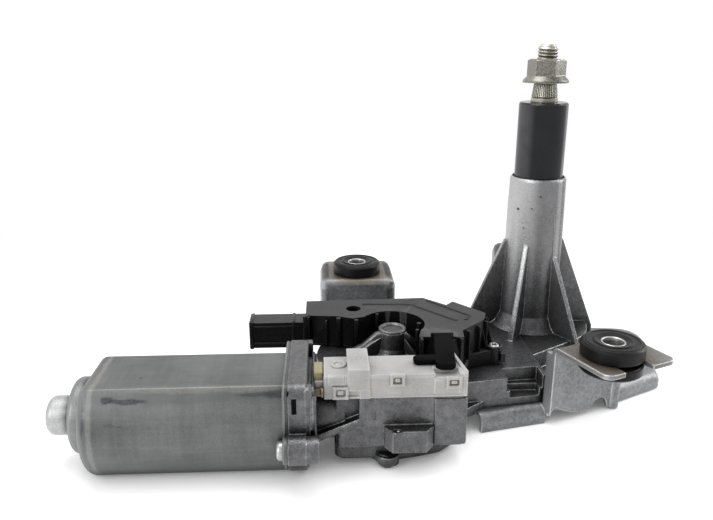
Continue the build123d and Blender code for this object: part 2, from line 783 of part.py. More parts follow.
def tooth_slot():
    """The gap between two teeth, tilted by the worm's lead angle, at the wheel's angle zero."""
    tilt = radians(lead_angle)
    with BuildPart() as slot:
        with BuildSketch(Plane(origin=(wheel_pitch_r, 0, motor_z), x_dir=(1, 0, 0),
                               z_dir=(0, sin(tilt), cos(tilt)))):
            root = wheel_root_r - wheel_pitch_r
            tip = wheel_tip_r - wheel_pitch_r + 0.6
            half = worm_lead / 4 + mesh_gap / 4
            with BuildLine():
                Polyline((root, -half - root * 0.36), (tip, -half - tip * 0.42), (tip, half + tip * 0.42),
                         (root, half + root * 0.36), close=True)
            make_face()
        extrude(amount=wheel_face, both=True)
    return slot.part


def make_worm_wheel():
    with BuildPart() as worm_wheel:
        add(ring(level(wheel_floor, wheel_centre), wheel_tip_r, axle_r + running_gap, wheel_face))
        with BuildSketch(level(wheel_floor + 2.5, wheel_centre)):
            Circle(wheel_root_r - 2.2)
            Circle(axle_r + 3.2, mode=Mode.SUBTRACT)
        extrude(amount=-3.0, mode=Mode.SUBTRACT)
        add(ring(level(wheel_floor - 0.4, wheel_centre), axle_r + 3.2, axle_r + running_gap, 3.2))
        with BuildSketch(level(rod_top + stack_gap, crank_pin_at)):
            Circle(eye_r - 0.6)
        extrude(amount=wheel_floor + 3.0 - rod_top - stack_gap)
        with Locations(*[Location((wheel_x, wheel_y, 0), (0, 0, -90 + 360 / wheel_teeth * index))
                         for index in range(wheel_teeth)]):
            add(tooth_slot(), mode=Mode.SUBTRACT)
        with BuildSketch(level(rod_top, crank_pin_at)):
            Circle(link_pin_r + seat_gap)
        extrude(amount=5.5, mode=Mode.SUBTRACT)
    worm_wheel.part.label = "worm_wheel"
    export_step(worm_wheel.part, "parts/worm_wheel.step")


def make_crank_pin():
    with BuildPart() as crank_pin:
        with BuildSketch(level(rod_top + stack_gap, crank_pin_at)):
            Circle(link_pin_r)
        extrude(amount=pin_depth)
    crank_pin.part.label = "crank_pin"
    export_step(crank_pin.part, "parts/crank_pin.step")


def make_contact_plate():
    """Copper track on the wheel that tells the electronics where it stands."""
    with BuildPart() as contact_plate:
        add(ring(level(wheel_roof, wheel_centre), 20.0, 13.0, 0.3))
        with BuildSketch(level(wheel_roof - 1, wheel_centre)):
            with BuildLine():
                CenterArc((0, 0), 21.0, -20, 50)
                CenterArc((0, 0), 16.8, -20, 50)
                Line(polar((0, 0), 21.0, -20), polar((0, 0), 16.8, -20))
                Line(polar((0, 0), 21.0, 30), polar((0, 0), 16.8, 30))
            make_face()
        extrude(amount=3, mode=Mode.SUBTRACT)
    contact_plate.part.label = "contact_plate"
    export_step(contact_plate.part, "parts/contact_plate.step")


def make_wheel_axle():
    with BuildPart() as wheel_axle:
        with BuildSketch(level(rod_top + stack_gap, wheel_centre)):
            Circle(axle_r)
        extrude(amount=boss_top - 1.4 - rod_top - stack_gap)
        chamfer(wheel_axle.faces().sort_by(Axis.Z)[-1].edges(), length=0.5)
    wheel_axle.part.label = "wheel_axle"
    export_step(wheel_axle.part, "parts/wheel_axle.step")


def make_connecting_rod():
    """Flat link between crank pin and lever pin."""
    with BuildPart() as connecting_rod:
        with BuildSketch(level(rod_floor, lever_pin)):
            far = polar((0, 0), rod_length, rod_angle)
            Circle(eye_r)
            with Locations(far):
                Circle(eye_r)
            with Locations(Location(polar((0, 0), rod_length / 2, rod_angle), rod_angle)):
                Rectangle(rod_length, 2 * rod_half)
            Circle(link_pin_r + running_gap, mode=Mode.SUBTRACT)
            with Locations(far):
                Circle(link_pin_r + running_gap, mode=Mode.SUBTRACT)
        extrude(amount=rod_thick)
    connecting_rod.part.label = "connecting_rod"
    export_step(connecting_rod.part, "parts/connecting_rod.step")


def make_drive_lever():
    with BuildPart() as drive_lever:
        with BuildSketch(level(lever_floor)):
            Circle(lever_hub_r)
            with Locations(lever_pin):
                Circle(eye_r)
            make_hull()
            Circle(spindle_r - 0.8, mode=Mode.SUBTRACT)
            with Locations(lever_pin):
                Circle(link_pin_r, mode=Mode.SUBTRACT)
        extrude(amount=lever_thick)
    drive_lever.part.label = "drive_lever"
    export_step(drive_lever.part, "parts/drive_lever.step")


def make_lever_pin():
    with BuildPart() as lever_pin_part:
        with BuildSketch(level(rod_floor - 0.2, lever_pin)):
            Circle(link_pin_r)
        extrude(amount=lever_top - rod_floor + 0.2)
        with BuildSketch(level(rod_floor - 0.2, lever_pin)):
            Circle(pin_head[0])
        extrude(amount=-pin_head[1])
    lever_pin_part.part.label = "lever_pin"
    export_step(lever_pin_part.part, "parts/lever_pin.step")


# Spindle

def make_output_spindle():
    """Steel spindle: riveted foot, journal, dark collar, splined taper and threaded end."""
    with BuildPart() as output_spindle:
        with BuildSketch(upright(0)):
            with BuildLine():
                Polyline((0, lever_floor), (spindle_r - 0.8, lever_floor), (spindle_r - 0.8, lever_top),
                         (spindle_r, lever_top), (spindle_r, sleeve_height),
                         (spindle_r + collar_rise, sleeve_height), (spindle_r + collar_rise, collar_top),
                         (spindle_r, collar_top), (spindle_r - taper_fall, spline_top),
                         (thread_core_r, spline_top), (thread_core_r, nut_top), (thread_r, nut_top),
                         (thread_r, thread_end - 1.0), (thread_r - 1.0, thread_end),
                         (0, thread_end), close=True)
            make_face()
        revolve(axis=Axis.Z)
    output_spindle.part.label = "output_spindle"
    export_step(output_spindle.part, "parts/output_spindle.step")


def make_spindle_nut():
    """Hexagon flange nut run down onto the thread."""
    with BuildPart() as spindle_nut:
        with BuildSketch(upright(0)):
            with BuildLine():
                Polyline((thread_core_r + seat_gap, spline_top), (nut_flange_r, spline_top),
                         (nut_flange_r, spline_top + nut_flange[0]), (7.2, spline_top + nut_flange[1]),
                         (thread_core_r + seat_gap, spline_top + nut_flange[1]), close=True)
            make_face()
        revolve(axis=Axis.Z)
        with BuildSketch(level(spline_top + 2)):
            RegularPolygon(nut_flats / 2, 6, major_radius=False, rotation=nut_turn)
            Circle(thread_core_r + seat_gap, mode=Mode.SUBTRACT)
        extrude(amount=nut_height - 2)
        with BuildSketch(upright(0)):
            with BuildLine():
                Polyline((6.3, spline_top + nut_height + 0.1), (9.3, spline_top + nut_height - 1.6),
                         (9.3, spline_top + nut_height + 0.1), close=True)
            make_face()
        revolve(axis=Axis.Z, mode=Mode.SUBTRACT)
    spindle_nut.part.label = "spindle_nut"
    export_step(spindle_nut.part, "parts/spindle_nut.step")


def make_spindle_bushes():
    for name, floor in (("lower", link_ceiling + 0.6), ("upper", -2.5 - bush_length)):
        with BuildPart() as spindle_bush:
            add(ring(level(floor), bush_r, spindle_r + running_gap, bush_length))
        spindle_bush.part.label = f"spindle_bush_{name}"
        export_step(spindle_bush.part, f"parts/spindle_bush_{name}.step")


def make_spindle_seal():
    with BuildPart() as spindle_seal:
        add(ring(level(-seal_height - 0.1), bush_r - 0.1, spindle_r + running_gap, seal_height))
    spindle_seal.part.label = "spindle_seal"
    export_step(spindle_seal.part, "parts/spindle_seal.step")


def make_spindle_sleeve():
    """Glossy protective tube over the spindle, standing on the tower's shoulder."""
    with BuildPart() as spindle_sleeve:
        add(ring(level(0), sleeve_r, sleeve_bore, sleeve_height - sleeve_lid))
        add(ring(level(sleeve_height - sleeve_lid), sleeve_r, spindle_r + 0.3, sleeve_lid))
        chamfer(spindle_sleeve.faces().sort_by(Axis.Z)[-1].edges().sort_by(SortBy.RADIUS)[-1], length=0.6)
    spindle_sleeve.part.label = "spindle_sleeve"
    export_step(spindle_sleeve.part, "parts/spindle_sleeve.step")


def make_thrust_washer():
    with BuildPart() as thrust_washer:
        add(ring(level(lever_top + 0.02), 8.5, spindle_r + running_gap, 0.55))
    thrust_washer.part.label = "thrust_washer"
    export_step(thrust_washer.part, "parts/thrust_washer.step")


# Bracket

def ear_solid(centre, direction, back, reach, half, shift):
    """A grommet ear: a riser bent up from the plate and a shelf with an open slot."""
    middle = polar(centre, shift, direction + 90)
    with BuildPart() as ear:
        with BuildSketch(upright(direction, middle)):
            with BuildLine():
                Polyline((-back - 9, joint_plane), (-back, joint_plane), (-back, ear_top), (reach, ear_top),
                         (reach, ear_top - cover_sheet), (-back + cover_sheet, ear_top - cover_sheet),
                         (-back + cover_sheet, bracket_floor), (-back - 9, bracket_floor), close=True)
            make_face()
        extrude(amount=half, both=True)
        bends = ear.edges().filter_by(lambda e: abs(e.length - 2 * half) < 0.01)
        top_bend = bends.filter_by(lambda e: abs(e.center().Z - ear_top) < 0.01)
        near = upright(direction, middle)
        outer = min(top_bend, key=lambda e: near.to_local_coords(e.center()).X)
        inner = min(bends.filter_by(lambda e: abs(e.center().Z - ear_top + cover_sheet) < 0.01),
                    key=lambda e: near.to_local_coords(e.center()).X)
        fillet(outer, radius=cover_sheet + bend_r)
        fillet(inner, radius=bend_r)
        corners = ear.edges().filter_by(Axis.Z).filter_by(
            lambda e: near.to_local_coords(e.center()).X > reach - 0.1)
        fillet(corners, radius=ear_corner)
        along = polar((0, 0), 1, direction)
        with BuildSketch(Plane(origin=(centre[0], centre[1], ear_top + 1), x_dir=(along[0], along[1], 0),
                               z_dir=(0, 0, 1))):
            Circle(grommet_neck + 0.1)
            with Locations((reach, 0)):
                Rectangle(2 * reach, 2 * grommet_neck - 1.4)
        extrude(amount=-cover_sheet - 2, mode=Mode.SUBTRACT)
    return ear.part


def rolled_profile(reach, foot):
    """Section of a rim rolled down from the plate: outwards from its outer face, and up."""
    inner = roll_r - cover_sheet
    with BuildSketch() as profile:
        with BuildLine():
            Line((0, foot), (0, joint_plane - roll_r))
            CenterArc((-roll_r, joint_plane - roll_r), roll_r, 0, 90)
            Polyline((-roll_r, joint_plane), (-reach, joint_plane), (-reach, bracket_floor),
                     (-roll_r, bracket_floor))
            CenterArc((-roll_r, joint_plane - roll_r), inner, 0, 90)
            Polyline((-cover_sheet, joint_plane - roll_r), (-cover_sheet, foot), (0, foot))
        make_face()
    return profile.sketch


def bracket_rims():
    """Rolled rims along the front edge and round the lobe."""
    with BuildPart() as rims:
        start, direction, length = front_edge
        with BuildSketch(upright(direction - 90, start)):
            add(rolled_profile(roll_r + 5.0, bench))
        extrude(amount=-length)
        add(rolled_lobe())
    return rims.part


def lobe_outline(margin):
    """Outline of the lobe, drawn in by a margin."""
    with BuildSketch() as outline:
        for centre, radius in lobe_circles:
            with Locations(centre):
                Circle(radius - margin)
        make_hull()
    return outline.sketch


def lobe_block(margin, top, roll):
    """The lobe's solid from the rim's foot to a height, with a rolled upper edge."""
    with BuildPart() as block:
        with BuildSketch(level(bench + rim_clear)):
            add(lobe_outline(margin))
        extrude(amount=top - bench - rim_clear)
        fillet(block.faces().sort_by(Axis.Z)[-1].edges(), radius=roll)
    return block.part


def rolled_lobe():
    """The lobe's plate with the rim rolled down on its outer side."""
    with BuildPart() as lobe:
        add(lobe_block(0, joint_plane, roll_r))
        add(lobe_block(cover_sheet, bracket_floor, roll_r - cover_sheet), mode=Mode.SUBTRACT)
        with BuildSketch(level(bench)):
            with BuildLine():
                Polyline(*lobe_rim_limit, close=True)
            make_face()
        extrude(amount=shoulder_height, mode=Mode.SUBTRACT)
    return lobe.part


def riser_sheet(centre, direction, back, shift, points):
    """A piece of sheet in the plane of an ear's riser: points run along the riser and up."""
    near = upright(direction, polar(centre, shift, direction + 90))
    with BuildPart() as sheet:
        with BuildSketch(Plane(origin=near.from_local_coords((-back, 0, 0)), x_dir=near.z_dir * -1,
                               z_dir=near.x_dir)):
            with BuildLine():
                Polyline(*points, close=True)
            make_face()
        extrude(amount=cover_sheet)
    return sheet.part


def ear_skirt(centre, direction, back, reach, half, shift):
    """The front ear's riser drawn down to the bench, with a bent edge and a bead."""
    middle = polar(centre, shift, direction + 90)
    lower_edge = [(place, bench + height) for place, height in skirt_foot]
    edge_foot = lower_edge[0][1]
    bead_foot = bench + rim_clear
    with BuildPart() as skirt_part:
        add(riser_sheet(centre, direction, back, shift,
                        [*lower_edge, (half, lower_edge[-1][1]), (half, ear_top - 5), (-half, ear_top - 5)]))
        with BuildSketch(level(edge_foot)):
            with Locations(Location(polar(polar(middle, -back - 1.0, direction), -half + cover_sheet / 2,
                                          direction + 90), direction)):
                Rectangle(3.6, cover_sheet)
        extrude(amount=ear_top - 3.0 - edge_foot)
        bead_at = polar(polar(middle, -back + 0.6, direction), half + 0.4, direction + 90)
        with BuildSketch(level(bead_foot, bead_at)):
            Circle(bead_r)
        extrude(amount=joint_plane + 5.0 - bead_foot)
    return skirt_part.part


def make_mounting_bracket():
    """Stamped steel plate that closes the casting from below and carries the three ears."""
    with BuildPart() as mounting_bracket:
        with BuildSketch(level(bracket_floor)):
            link_sketch(case_r + 1.4, link_r_spindle + casting_wall + 3.0)
            add(lobe_outline(roll_r + 0.7))
            for name, (centre, direction, back, reach, half, shift) in ears.items():
                start = polar(polar(centre, shift, direction + 90), -back, direction)
                aim = (0, 0) if name != "rear_left" else wheel_centre
                left = polar(start, half, direction + 90)
                right = polar(start, -half, direction + 90)
                with BuildLine():
                    Polyline(left, right, polar(aim, -20, direction + 90), polar(aim, 20, direction + 90),
                             close=True)
                make_face()
            with BuildLine():
                Polyline((-35.0, -59.4), (-14.0, -56.6), (0.0, -20.0), (-40.0, -35.0), close=True)
            make_face()
        extrude(amount=cover_sheet)
        add(bracket_rims())
        add(ear_skirt(*ears["front"]))
        for centre, direction, back, reach, half, shift in ears.values():
            add(ear_solid(centre, direction, back, reach, half, shift))
        centre, direction, back, reach, half, shift = ears["front"]
        notches = [(place, bench + height) for place, height in skirt_foot]
        add(riser_sheet(centre, direction, back, shift, [*notches, (notches[-1][0], bench), (-half, bench)]),
            mode=Mode.SUBTRACT)
        for lug in bracket_lugs:
            with BuildSketch(level(joint_plane + 1, lug)):
                Circle(bracket_screw_r + 0.3)
            extrude(amount=-cover_sheet - 2, mode=Mode.SUBTRACT)
    mounting_bracket.part.label = "mounting_bracket"
    export_step(mounting_bracket.part, "parts/mounting_bracket.step")


def make_bracket_screws():
    with BuildPart() as bracket_screws:
        for lug in bracket_lugs:
            with BuildSketch(level(bracket_floor, lug)):
                Circle(bracket_screw_r)
            extrude(amount=cover_sheet + 6.0)
            with BuildSketch(level(bracket_floor, lug)):
                Circle(bracket_screw_head_r)
            extrude(amount=-screw_m4_head)
    bracket_screws.part.label = "bracket_screws"
    export_step(bracket_screws.part, "parts/bracket_screws.step")


def make_grommets():
    """Rubber bobbins pushed into the slots, each with a steel spacer in it."""
    low = ear_top - cover_sheet - low_disc_thick
    for name, (centre, *rest) in ears.items():
        spin = Axis((centre[0], centre[1], 0), (0, 0, 1))
        with BuildPart() as grommet:
            with BuildSketch(upright(0, centre)):
                with BuildLine():
                    Polyline((spacer_r + seat_gap, low), (grommet_r - 0.7, low), (grommet_r, low + 0.7),
                             (grommet_r, ear_top - cover_sheet - 0.5),
                             (grommet_r - 0.5, ear_top - cover_sheet), (grommet_neck, ear_top - cover_sheet),
                             (grommet_neck, ear_top), (grommet_r - 0.5, ear_top), (grommet_r, ear_top + 0.5),
                             (grommet_r, grommet_top - 0.8), (grommet_r - 0.8, grommet_top),
                             (spacer_r + 1.9, grommet_top), (spacer_r + seat_gap, grommet_top - 1.2),
                             close=True)
                make_face()
            revolve(axis=spin)
        grommet.part.label = f"grommet_{name}"
        export_step(grommet.part, f"parts/grommet_{name}.step")
        with BuildPart() as spacer:
            add(ring(level(grommet_top - 0.9 - spacer_length, centre), spacer_r, spacer_bore, spacer_length))
        spacer.part.label = f"spacer_{name}"
        export_step(spacer.part, f"parts/spacer_{name}.step")


# Electronics

def module_outline(margin):
    """Outline of the black module seen from above, hollowed round the wheel boss."""
    with BuildSketch() as outline:
        with BuildLine():
            Polyline(*module_points, close=True)
        make_face()
        with Locations(wheel_centre):
            Circle(module_reach, mode=Mode.SUBTRACT)
        if margin:
            offset(amount=-margin, kind=Kind.INTERSECTION, mode=Mode.REPLACE)
    return outline.sketch


def make_module_cover():
    with BuildPart() as module_cover:
        with BuildSketch(level(module_floor)):
            add(module_outline(0))
        extrude(amount=module_top - module_floor)
        with BuildSketch(level(module_floor)):
            add(module_outline(module_wall))
        extrude(amount=module_top - module_floor - module_wall, mode=Mode.SUBTRACT)
        # arm that reaches over the white cover, with a finger to its left
        with BuildSketch(level(cover_top + 0.2)):
            with Locations((arm_x, (arm_reach + arm_root) / 2)):
                RectangleRounded(arm_width, arm_root - arm_reach, 2.0)
            with Locations((arm_x - arm_width / 2 - 2.5, arm_reach + 4.0)):
                RectangleRounded(10.0, 4.4, 1.2)
        extrude(amount=arm_thick)
        # pillar round the screw that holds the module's middle
        pillar = module_screws["boss"]
        add(ring(level(module_floor, pillar), pillar_r, pillar_bore, module_top - module_floor))
        with BuildSketch(level(module_floor + overcut, pillar)):
            Circle(pillar_bore)
        extrude(amount=module_top - module_floor, mode=Mode.SUBTRACT)
    module_cover.part.label = "module_cover"
    export_step(module_cover.part, "parts/module_cover.step")


def make_module_base():
    """Tray under the circuit board, standing on the gear case."""
    with BuildPart() as module_base:
        with BuildSketch(level(case_roof)):
            add(module_outline(0))
        extrude(amount=module_floor - case_roof)
        # screw lug beside the tower, one step lower than the tray
        with BuildSketch(level(wing_top)):
            with Locations(module_screws["lug"]):
                Circle(module_lug_r)
            with BuildLine():
                Polyline((-36.0, -48.4), (-25.3, -44.4), (-25.3, -40.2), (-33.0, -36.0), close=True)
            make_face()
            with Locations(wheel_centre):
                Circle(case_r + seat_gap, mode=Mode.SUBTRACT)
        extrude(amount=module_floor - wing_top)
        for place in module_screws.values():
            with BuildSketch(level(wing_top - 1, place)):
                Circle(module_screw_r + seat_gap)
            extrude(amount=module_floor - wing_top + 2, mode=Mode.SUBTRACT)
        with BuildSketch(level(case_roof - overcut, contact_at)):
            Rectangle(contact_window, contact_window)
        extrude(amount=module_floor - case_roof + 2, mode=Mode.SUBTRACT)
    module_base.part.label = "module_base"
    export_step(module_base.part, "parts/module_base.step")


def make_circuit_board():
    with BuildPart() as circuit_board:
        with BuildSketch(level(module_floor + board_height)):
            add(module_outline(module_wall + 0.3))
            with Locations(module_screws["boss"]):
                Circle(pillar_r + 0.4, mode=Mode.SUBTRACT)
            with Locations(module_screws["lug"]):
                Circle(5.0, mode=Mode.SUBTRACT)
        extrude(amount=board_thick)
    circuit_board.part.label = "circuit_board"
    export_step(circuit_board.part, "parts/circuit_board.step")


def make_terminal_cover():
    """White clip-on cover over the motor leads."""
    left = cover_left
    right = tunnel_right
    front = tunnel_y
    back = front + 14.4
    with BuildPart() as terminal_cover:
        with BuildSketch(level(cover_bottom)):
            with BuildLine():
                Polyline((left, front - 0.4), (right, front - 0.4), (right - 2.6, back), (left + 0.6, back),
                         close=True)
            make_face()
        extrude(amount=cover_top - cover_bottom)
        with BuildSketch(level(cover_bottom)):
            with Locations((-78.8, (front + back) / 2)):
                Rectangle(7.0, back - front + 1.0)
        extrude(amount=cover_top - cover_bottom + 2.4)
        with BuildSketch(level(cover_bottom)):
            with Locations(((left + right) / 2 - 0.5, (front + back) / 2)):
                Rectangle(right - left - 6.0, back - front - 2 * cover_wall)
        extrude(amount=cover_top - cover_bottom - cover_wall, mode=Mode.SUBTRACT)
    terminal_cover.part.label = "terminal_cover"
    export_step(terminal_cover.part, "parts/terminal_cover.step")


def make_connector():
    """Plug socket at the module's left end, open to the left."""
    middle = connector_middle
    with BuildPart() as connector_shroud:
        plane = Plane(origin=(connector_right + 1.2, middle[0], middle[1]), x_dir=(0, 1, 0), z_dir=(1, 0, 0))
        with BuildSketch(plane):
            Rectangle(*connector_size)
        extrude(amount=connector_left - connector_right - 1.2)
        depth = connector_right - connector_left - connector_end
        with BuildSketch(plane.offset(connector_left - connector_right - 1.2)):
            Rectangle(connector_size[0] - 2 * connector_wall, connector_size[1] - 2 * connector_wall)
        extrude(amount=depth, mode=Mode.SUBTRACT)
    connector_shroud.part.label = "connector_shroud"
    export_step(connector_shroud.part, "parts/connector_shroud.step")


def make_module_screws():
    """One screw on the lug, one sunk in the module's pillar."""
    with BuildPart() as fixing_screws:
        for name, place in module_screws.items():
            seat = module_floor
            with BuildSketch(level(seat, place)):
                Circle(module_screw_r)
            extrude(amount=screw_seats[name] - seat - screw_depths[name])
            with BuildSketch(level(seat, place)):
                Circle(module_screw_head_r)
            extrude(amount=1.5)
    fixing_screws.part.label = "module_screws"
    export_step(fixing_screws.part, "parts/module_screws.step")


def make_park_contacts():
    """Spring fingers from the circuit board down to the wheel's copper track."""
    board = module_floor + board_height
    with BuildPart() as park_contacts:
        for radius in (15.2, 18.0, 20.6):
            with BuildSketch(level(wheel_roof + 0.35, polar(wheel_centre, radius, 60))):
                Rectangle(1.0, 0.5)
            extrude(amount=board - wheel_roof - 0.35)
        with BuildSketch(level(board - 0.8, contact_at)):
            Rectangle(contact_window - 1.6, contact_window - 1.6)
        extrude(amount=0.8)
    park_contacts.part.label = "park_contacts"
    export_step(park_contacts.part, "parts/park_contacts.step")


def make_connector_pins():
    with BuildPart() as connector_pins:
        for row in (-1.6, 1.6):
            for column in (-2.6, 0.0, 2.6):
                with BuildSketch(Plane(origin=(connector_right - connector_end, connector_middle[0] + row,
                                               connector_middle[1] + column), z_dir=(1, 0, 0))):
                    Rectangle(pin_side, pin_side)
                extrude(amount=-pin_length)
    connector_pins.part.label = "connector_pins"
    export_step(connector_pins.part, "parts/connector_pins.step")


def make_lead_plug():
    """Tan plug that carries the motor leads from the flange into the white cover."""
    with BuildPart() as lead_plug:
        for floor, width in ((tunnel_top + 0.2, 9.4), (tunnel_top + 5.4, 7.6)):
            with BuildSketch(level(floor)):
                with Locations(((plug_left + cover_left) / 2, tunnel_y + 1.0 + width / 2)):
                    Rectangle(cover_left - plug_left - 0.2, width)
            extrude(amount=2.6)
        with BuildSketch(level(tunnel_top + 0.2)):
            with Locations(((plug_left + cover_left) / 2, tunnel_y + 9.0)):
                Rectangle(cover_left - plug_left - 0.2, 3.0)
        extrude(amount=7.8)
    lead_plug.part.label = "lead_plug"
    export_step(lead_plug.part, "parts/lead_plug.step")


def make_retaining_ring():
    with BuildPart() as retaining_ring:
        add(ring(level(lever_floor + 0.1, wheel_centre), axle_r + 2.4, axle_r + 0.02, 0.6))
    retaining_ring.part.label = "retaining_ring"
    export_step(retaining_ring.part, "parts/retaining_ring.step")


make_module_screws()
make_park_contacts()
make_connector_pins()
make_lead_plug()
make_retaining_ring()
make_gear_housing()
make_motor_yoke()
make_yoke_screws()
make_magnets()
make_end_bearing()
make_front_bearing()
make_armature_shaft()
make_armature_core()
make_armature_windings()
make_commutator()
make_brush_holder()
make_brushes()
make_brush_springs()
make_thrust_plug()
make_worm_wheel()
make_crank_pin()
make_contact_plate()
make_wheel_axle()
make_connecting_rod()
make_drive_lever()
make_lever_pin()
make_output_spindle()
make_spindle_nut()
make_spindle_bushes()
make_spindle_seal()
make_spindle_sleeve()
make_thrust_washer()
make_mounting_bracket()
make_bracket_screws()
make_grommets()
make_module_cover()
make_module_base()
make_circuit_board()
make_terminal_cover()
make_connector()
print("crank", crank_r, "rod", rod_length, "lever pin", lever_pin, "crank pin", crank_pin_at)
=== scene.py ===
import bpy
import bmesh
import json
from math import cos, pi, radians, sin
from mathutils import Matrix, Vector


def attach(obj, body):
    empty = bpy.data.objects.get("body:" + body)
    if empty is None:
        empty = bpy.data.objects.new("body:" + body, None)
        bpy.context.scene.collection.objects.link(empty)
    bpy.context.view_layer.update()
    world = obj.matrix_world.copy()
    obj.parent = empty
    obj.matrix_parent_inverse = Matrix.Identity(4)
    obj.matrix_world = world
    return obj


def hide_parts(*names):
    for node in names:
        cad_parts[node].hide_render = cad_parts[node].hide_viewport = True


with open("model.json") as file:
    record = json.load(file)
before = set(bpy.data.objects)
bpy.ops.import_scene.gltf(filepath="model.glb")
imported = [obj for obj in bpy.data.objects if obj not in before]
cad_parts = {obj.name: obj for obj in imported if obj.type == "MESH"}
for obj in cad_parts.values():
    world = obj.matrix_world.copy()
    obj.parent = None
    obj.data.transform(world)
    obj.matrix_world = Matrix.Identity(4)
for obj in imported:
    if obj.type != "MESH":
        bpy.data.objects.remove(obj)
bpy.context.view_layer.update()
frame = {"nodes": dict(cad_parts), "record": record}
nodes = frame["nodes"]
mm = 0.001
bench = -81.2
grommetPlaces = {"front": (9.6, -67.0), "rear_left": (-73.9, 28.0), "rear_right": (15.0, 56.3)}
print("stage: frame loaded")


# Shader arithmetic: one output socket of a node tree, with operators on it
class Wire:
    def __init__(self, tree, socket):
        self.tree = tree
        self.socket = socket

    def plug(self, target):
        self.tree.links.new(self.socket, target)

    def maths(self, operation, *others, swap=False):
        made = self.tree.nodes.new("ShaderNodeMath")
        made.operation = operation
        values = [self, *others]
        if swap:
            values.reverse()
        for slot, value in zip(made.inputs, values):
            feed(value, slot)
        return Wire(self.tree, made.outputs[0])

    def __add__(self, other):
        return self.maths("ADD", other)

    __radd__ = __add__

    def __sub__(self, other):
        return self.maths("SUBTRACT", other)

    def __rsub__(self, other):
        return self.maths("SUBTRACT", other, swap=True)

    def __mul__(self, other):
        return self.maths("MULTIPLY", other)

    def node(self, kind, output=0, inputs=(), **settings):
        made = self.tree.nodes.new(kind)
        for key, value in settings.items():
            setattr(made, key, value)
        for key, value in dict(inputs).items():
            feed(value, made.inputs[key])
        return Wire(self.tree, made.outputs[output])

    def smooth(self, low, high):
        return self.node("ShaderNodeMapRange", inputs={"Value": self, "From Min": low, "From Max": high},
                         interpolation_type="SMOOTHSTEP", clamp=True)


def feed(value, slot):
    if isinstance(value, Wire):
        value.plug(slot)
    else:
        slot.default_value = value


def rgba(colour):
    return colour if isinstance(colour, Wire) else (*colour, 1.0)


def blend(fraction, first, second):
    made = fraction.tree.nodes.new("ShaderNodeMix")
    made.data_type = "RGBA"
    feed(fraction, made.inputs[0])
    feed(rgba(first), made.inputs[6])
    feed(rgba(second), made.inputs[7])
    return Wire(fraction.tree, made.outputs[2])


def scaled(colour, factor):
    return tuple(channel * factor for channel in colour)


def startMaterial(name, **constants):
    made = bpy.data.materials.new(name)
    made.use_nodes = True
    shader = made.node_tree.nodes["Principled BSDF"]
    for key, value in constants.items():
        shader.inputs[key.replace("_", " ")].default_value = value
    place = made.node_tree.nodes.new("ShaderNodeTexCoord")
    return made, shader, Wire(made.node_tree, place.outputs["Object"])


def noise(place, scale, detail=3.0, rough=0.55, stretch=None):
    seen = place
    if stretch:
        seen = place.node("ShaderNodeMapping", inputs={"Vector": place, "Scale": stretch})
    return place.node("ShaderNodeTexNoise", inputs={"Vector": seen, "Scale": scale, "Detail": detail,
                                                    "Roughness": rough})


def parts(place):
    split = place.node("ShaderNodeSeparateXYZ", inputs={"Vector": place})
    owner = split.socket.node
    return [Wire(place.tree, owner.outputs[index]) for index in range(3)]


# Lighter edges come from a rounded normal, partly wear and partly painted highlight; corners darkened from
# ambient shade are painted shade
def edgeWearAndHighlight(place, radius, low=0.004, high=0.12):
    bevel = place.node("ShaderNodeBevel", inputs={"Radius": radius}, samples=8)
    flat = place.node("ShaderNodeNewGeometry", output="True Normal")
    facing = place.node("ShaderNodeVectorMath", output="Value", operation="DOT_PRODUCT",
                        inputs={0: bevel, 1: flat})
    return (1 - facing).smooth(low, high), bevel


def cornerShade(place, reach, low=0.15, high=0.9):
    light = place.node("ShaderNodeAmbientOcclusion", output="AO", inputs={"Distance": reach}, samples=8)
    return (1 - light).smooth(low, high)


# The side that a window on the left lights, or another side
def litSide(place, low=0.1, high=0.95, side=(-0.86, -0.4, 0.3)):
    normal = place.node("ShaderNodeNewGeometry", output="Normal")
    return place.node("ShaderNodeVectorMath", output="Value", operation="DOT_PRODUCT",
                      inputs={0: normal, 1: side}).smooth(low, high)


def relief(shader, height, distance, strength=0.5, normal=None):
    made = height.node("ShaderNodeBump",
                       inputs={"Height": height, "Distance": distance, "Strength": strength})
    if normal is not None:
        feed(normal, made.socket.node.inputs["Normal"])
    made.plug(shader.inputs["Normal"])


# A soft-edged patch: an ellipsoid in the part's millimetres with a ragged border
def patch(place, centre, radii, soft, ragged, scale):
    vectors = "ShaderNodeVectorMath"
    waver = place.node("ShaderNodeTexNoise", output="Color",
                       inputs={"Vector": place, "Scale": scale, "Detail": 2.0})
    waver = place.node(vectors, operation="SUBTRACT", inputs={0: waver, 1: (0.5, 0.5, 0.5)})
    waver = place.node(vectors, operation="SCALE", inputs={0: waver, "Scale": ragged * mm})
    seen = place.node(vectors, operation="ADD", inputs={0: place, 1: waver})
    shifted = place.node("ShaderNodeMapping", vector_type="TEXTURE", inputs={
        "Vector": seen, "Location": scaled(centre, mm), "Scale": scaled(radii, mm)})
    length = place.node(vectors, output="Value", operation="LENGTH", inputs={0: shifted})
    return 1 - length.smooth(1 - soft, 1 + soft)


# Stains, wear, and some painted shade and highlight: each row has a place above the bench, half sizes, an
# amount, a colour and a border
def stained(place, tone, marks, soft, scale, strength=1):
    for (x, y, rise), radii, amount, colour, border in marks:
        edge = {"soft": soft, "ragged": 1.5, "scale": scale, **border}
        spot = patch(place, (x, y, bench + rise), radii, **edge)
        tone = blend(spot * strength * amount, tone, colour)
    return tone


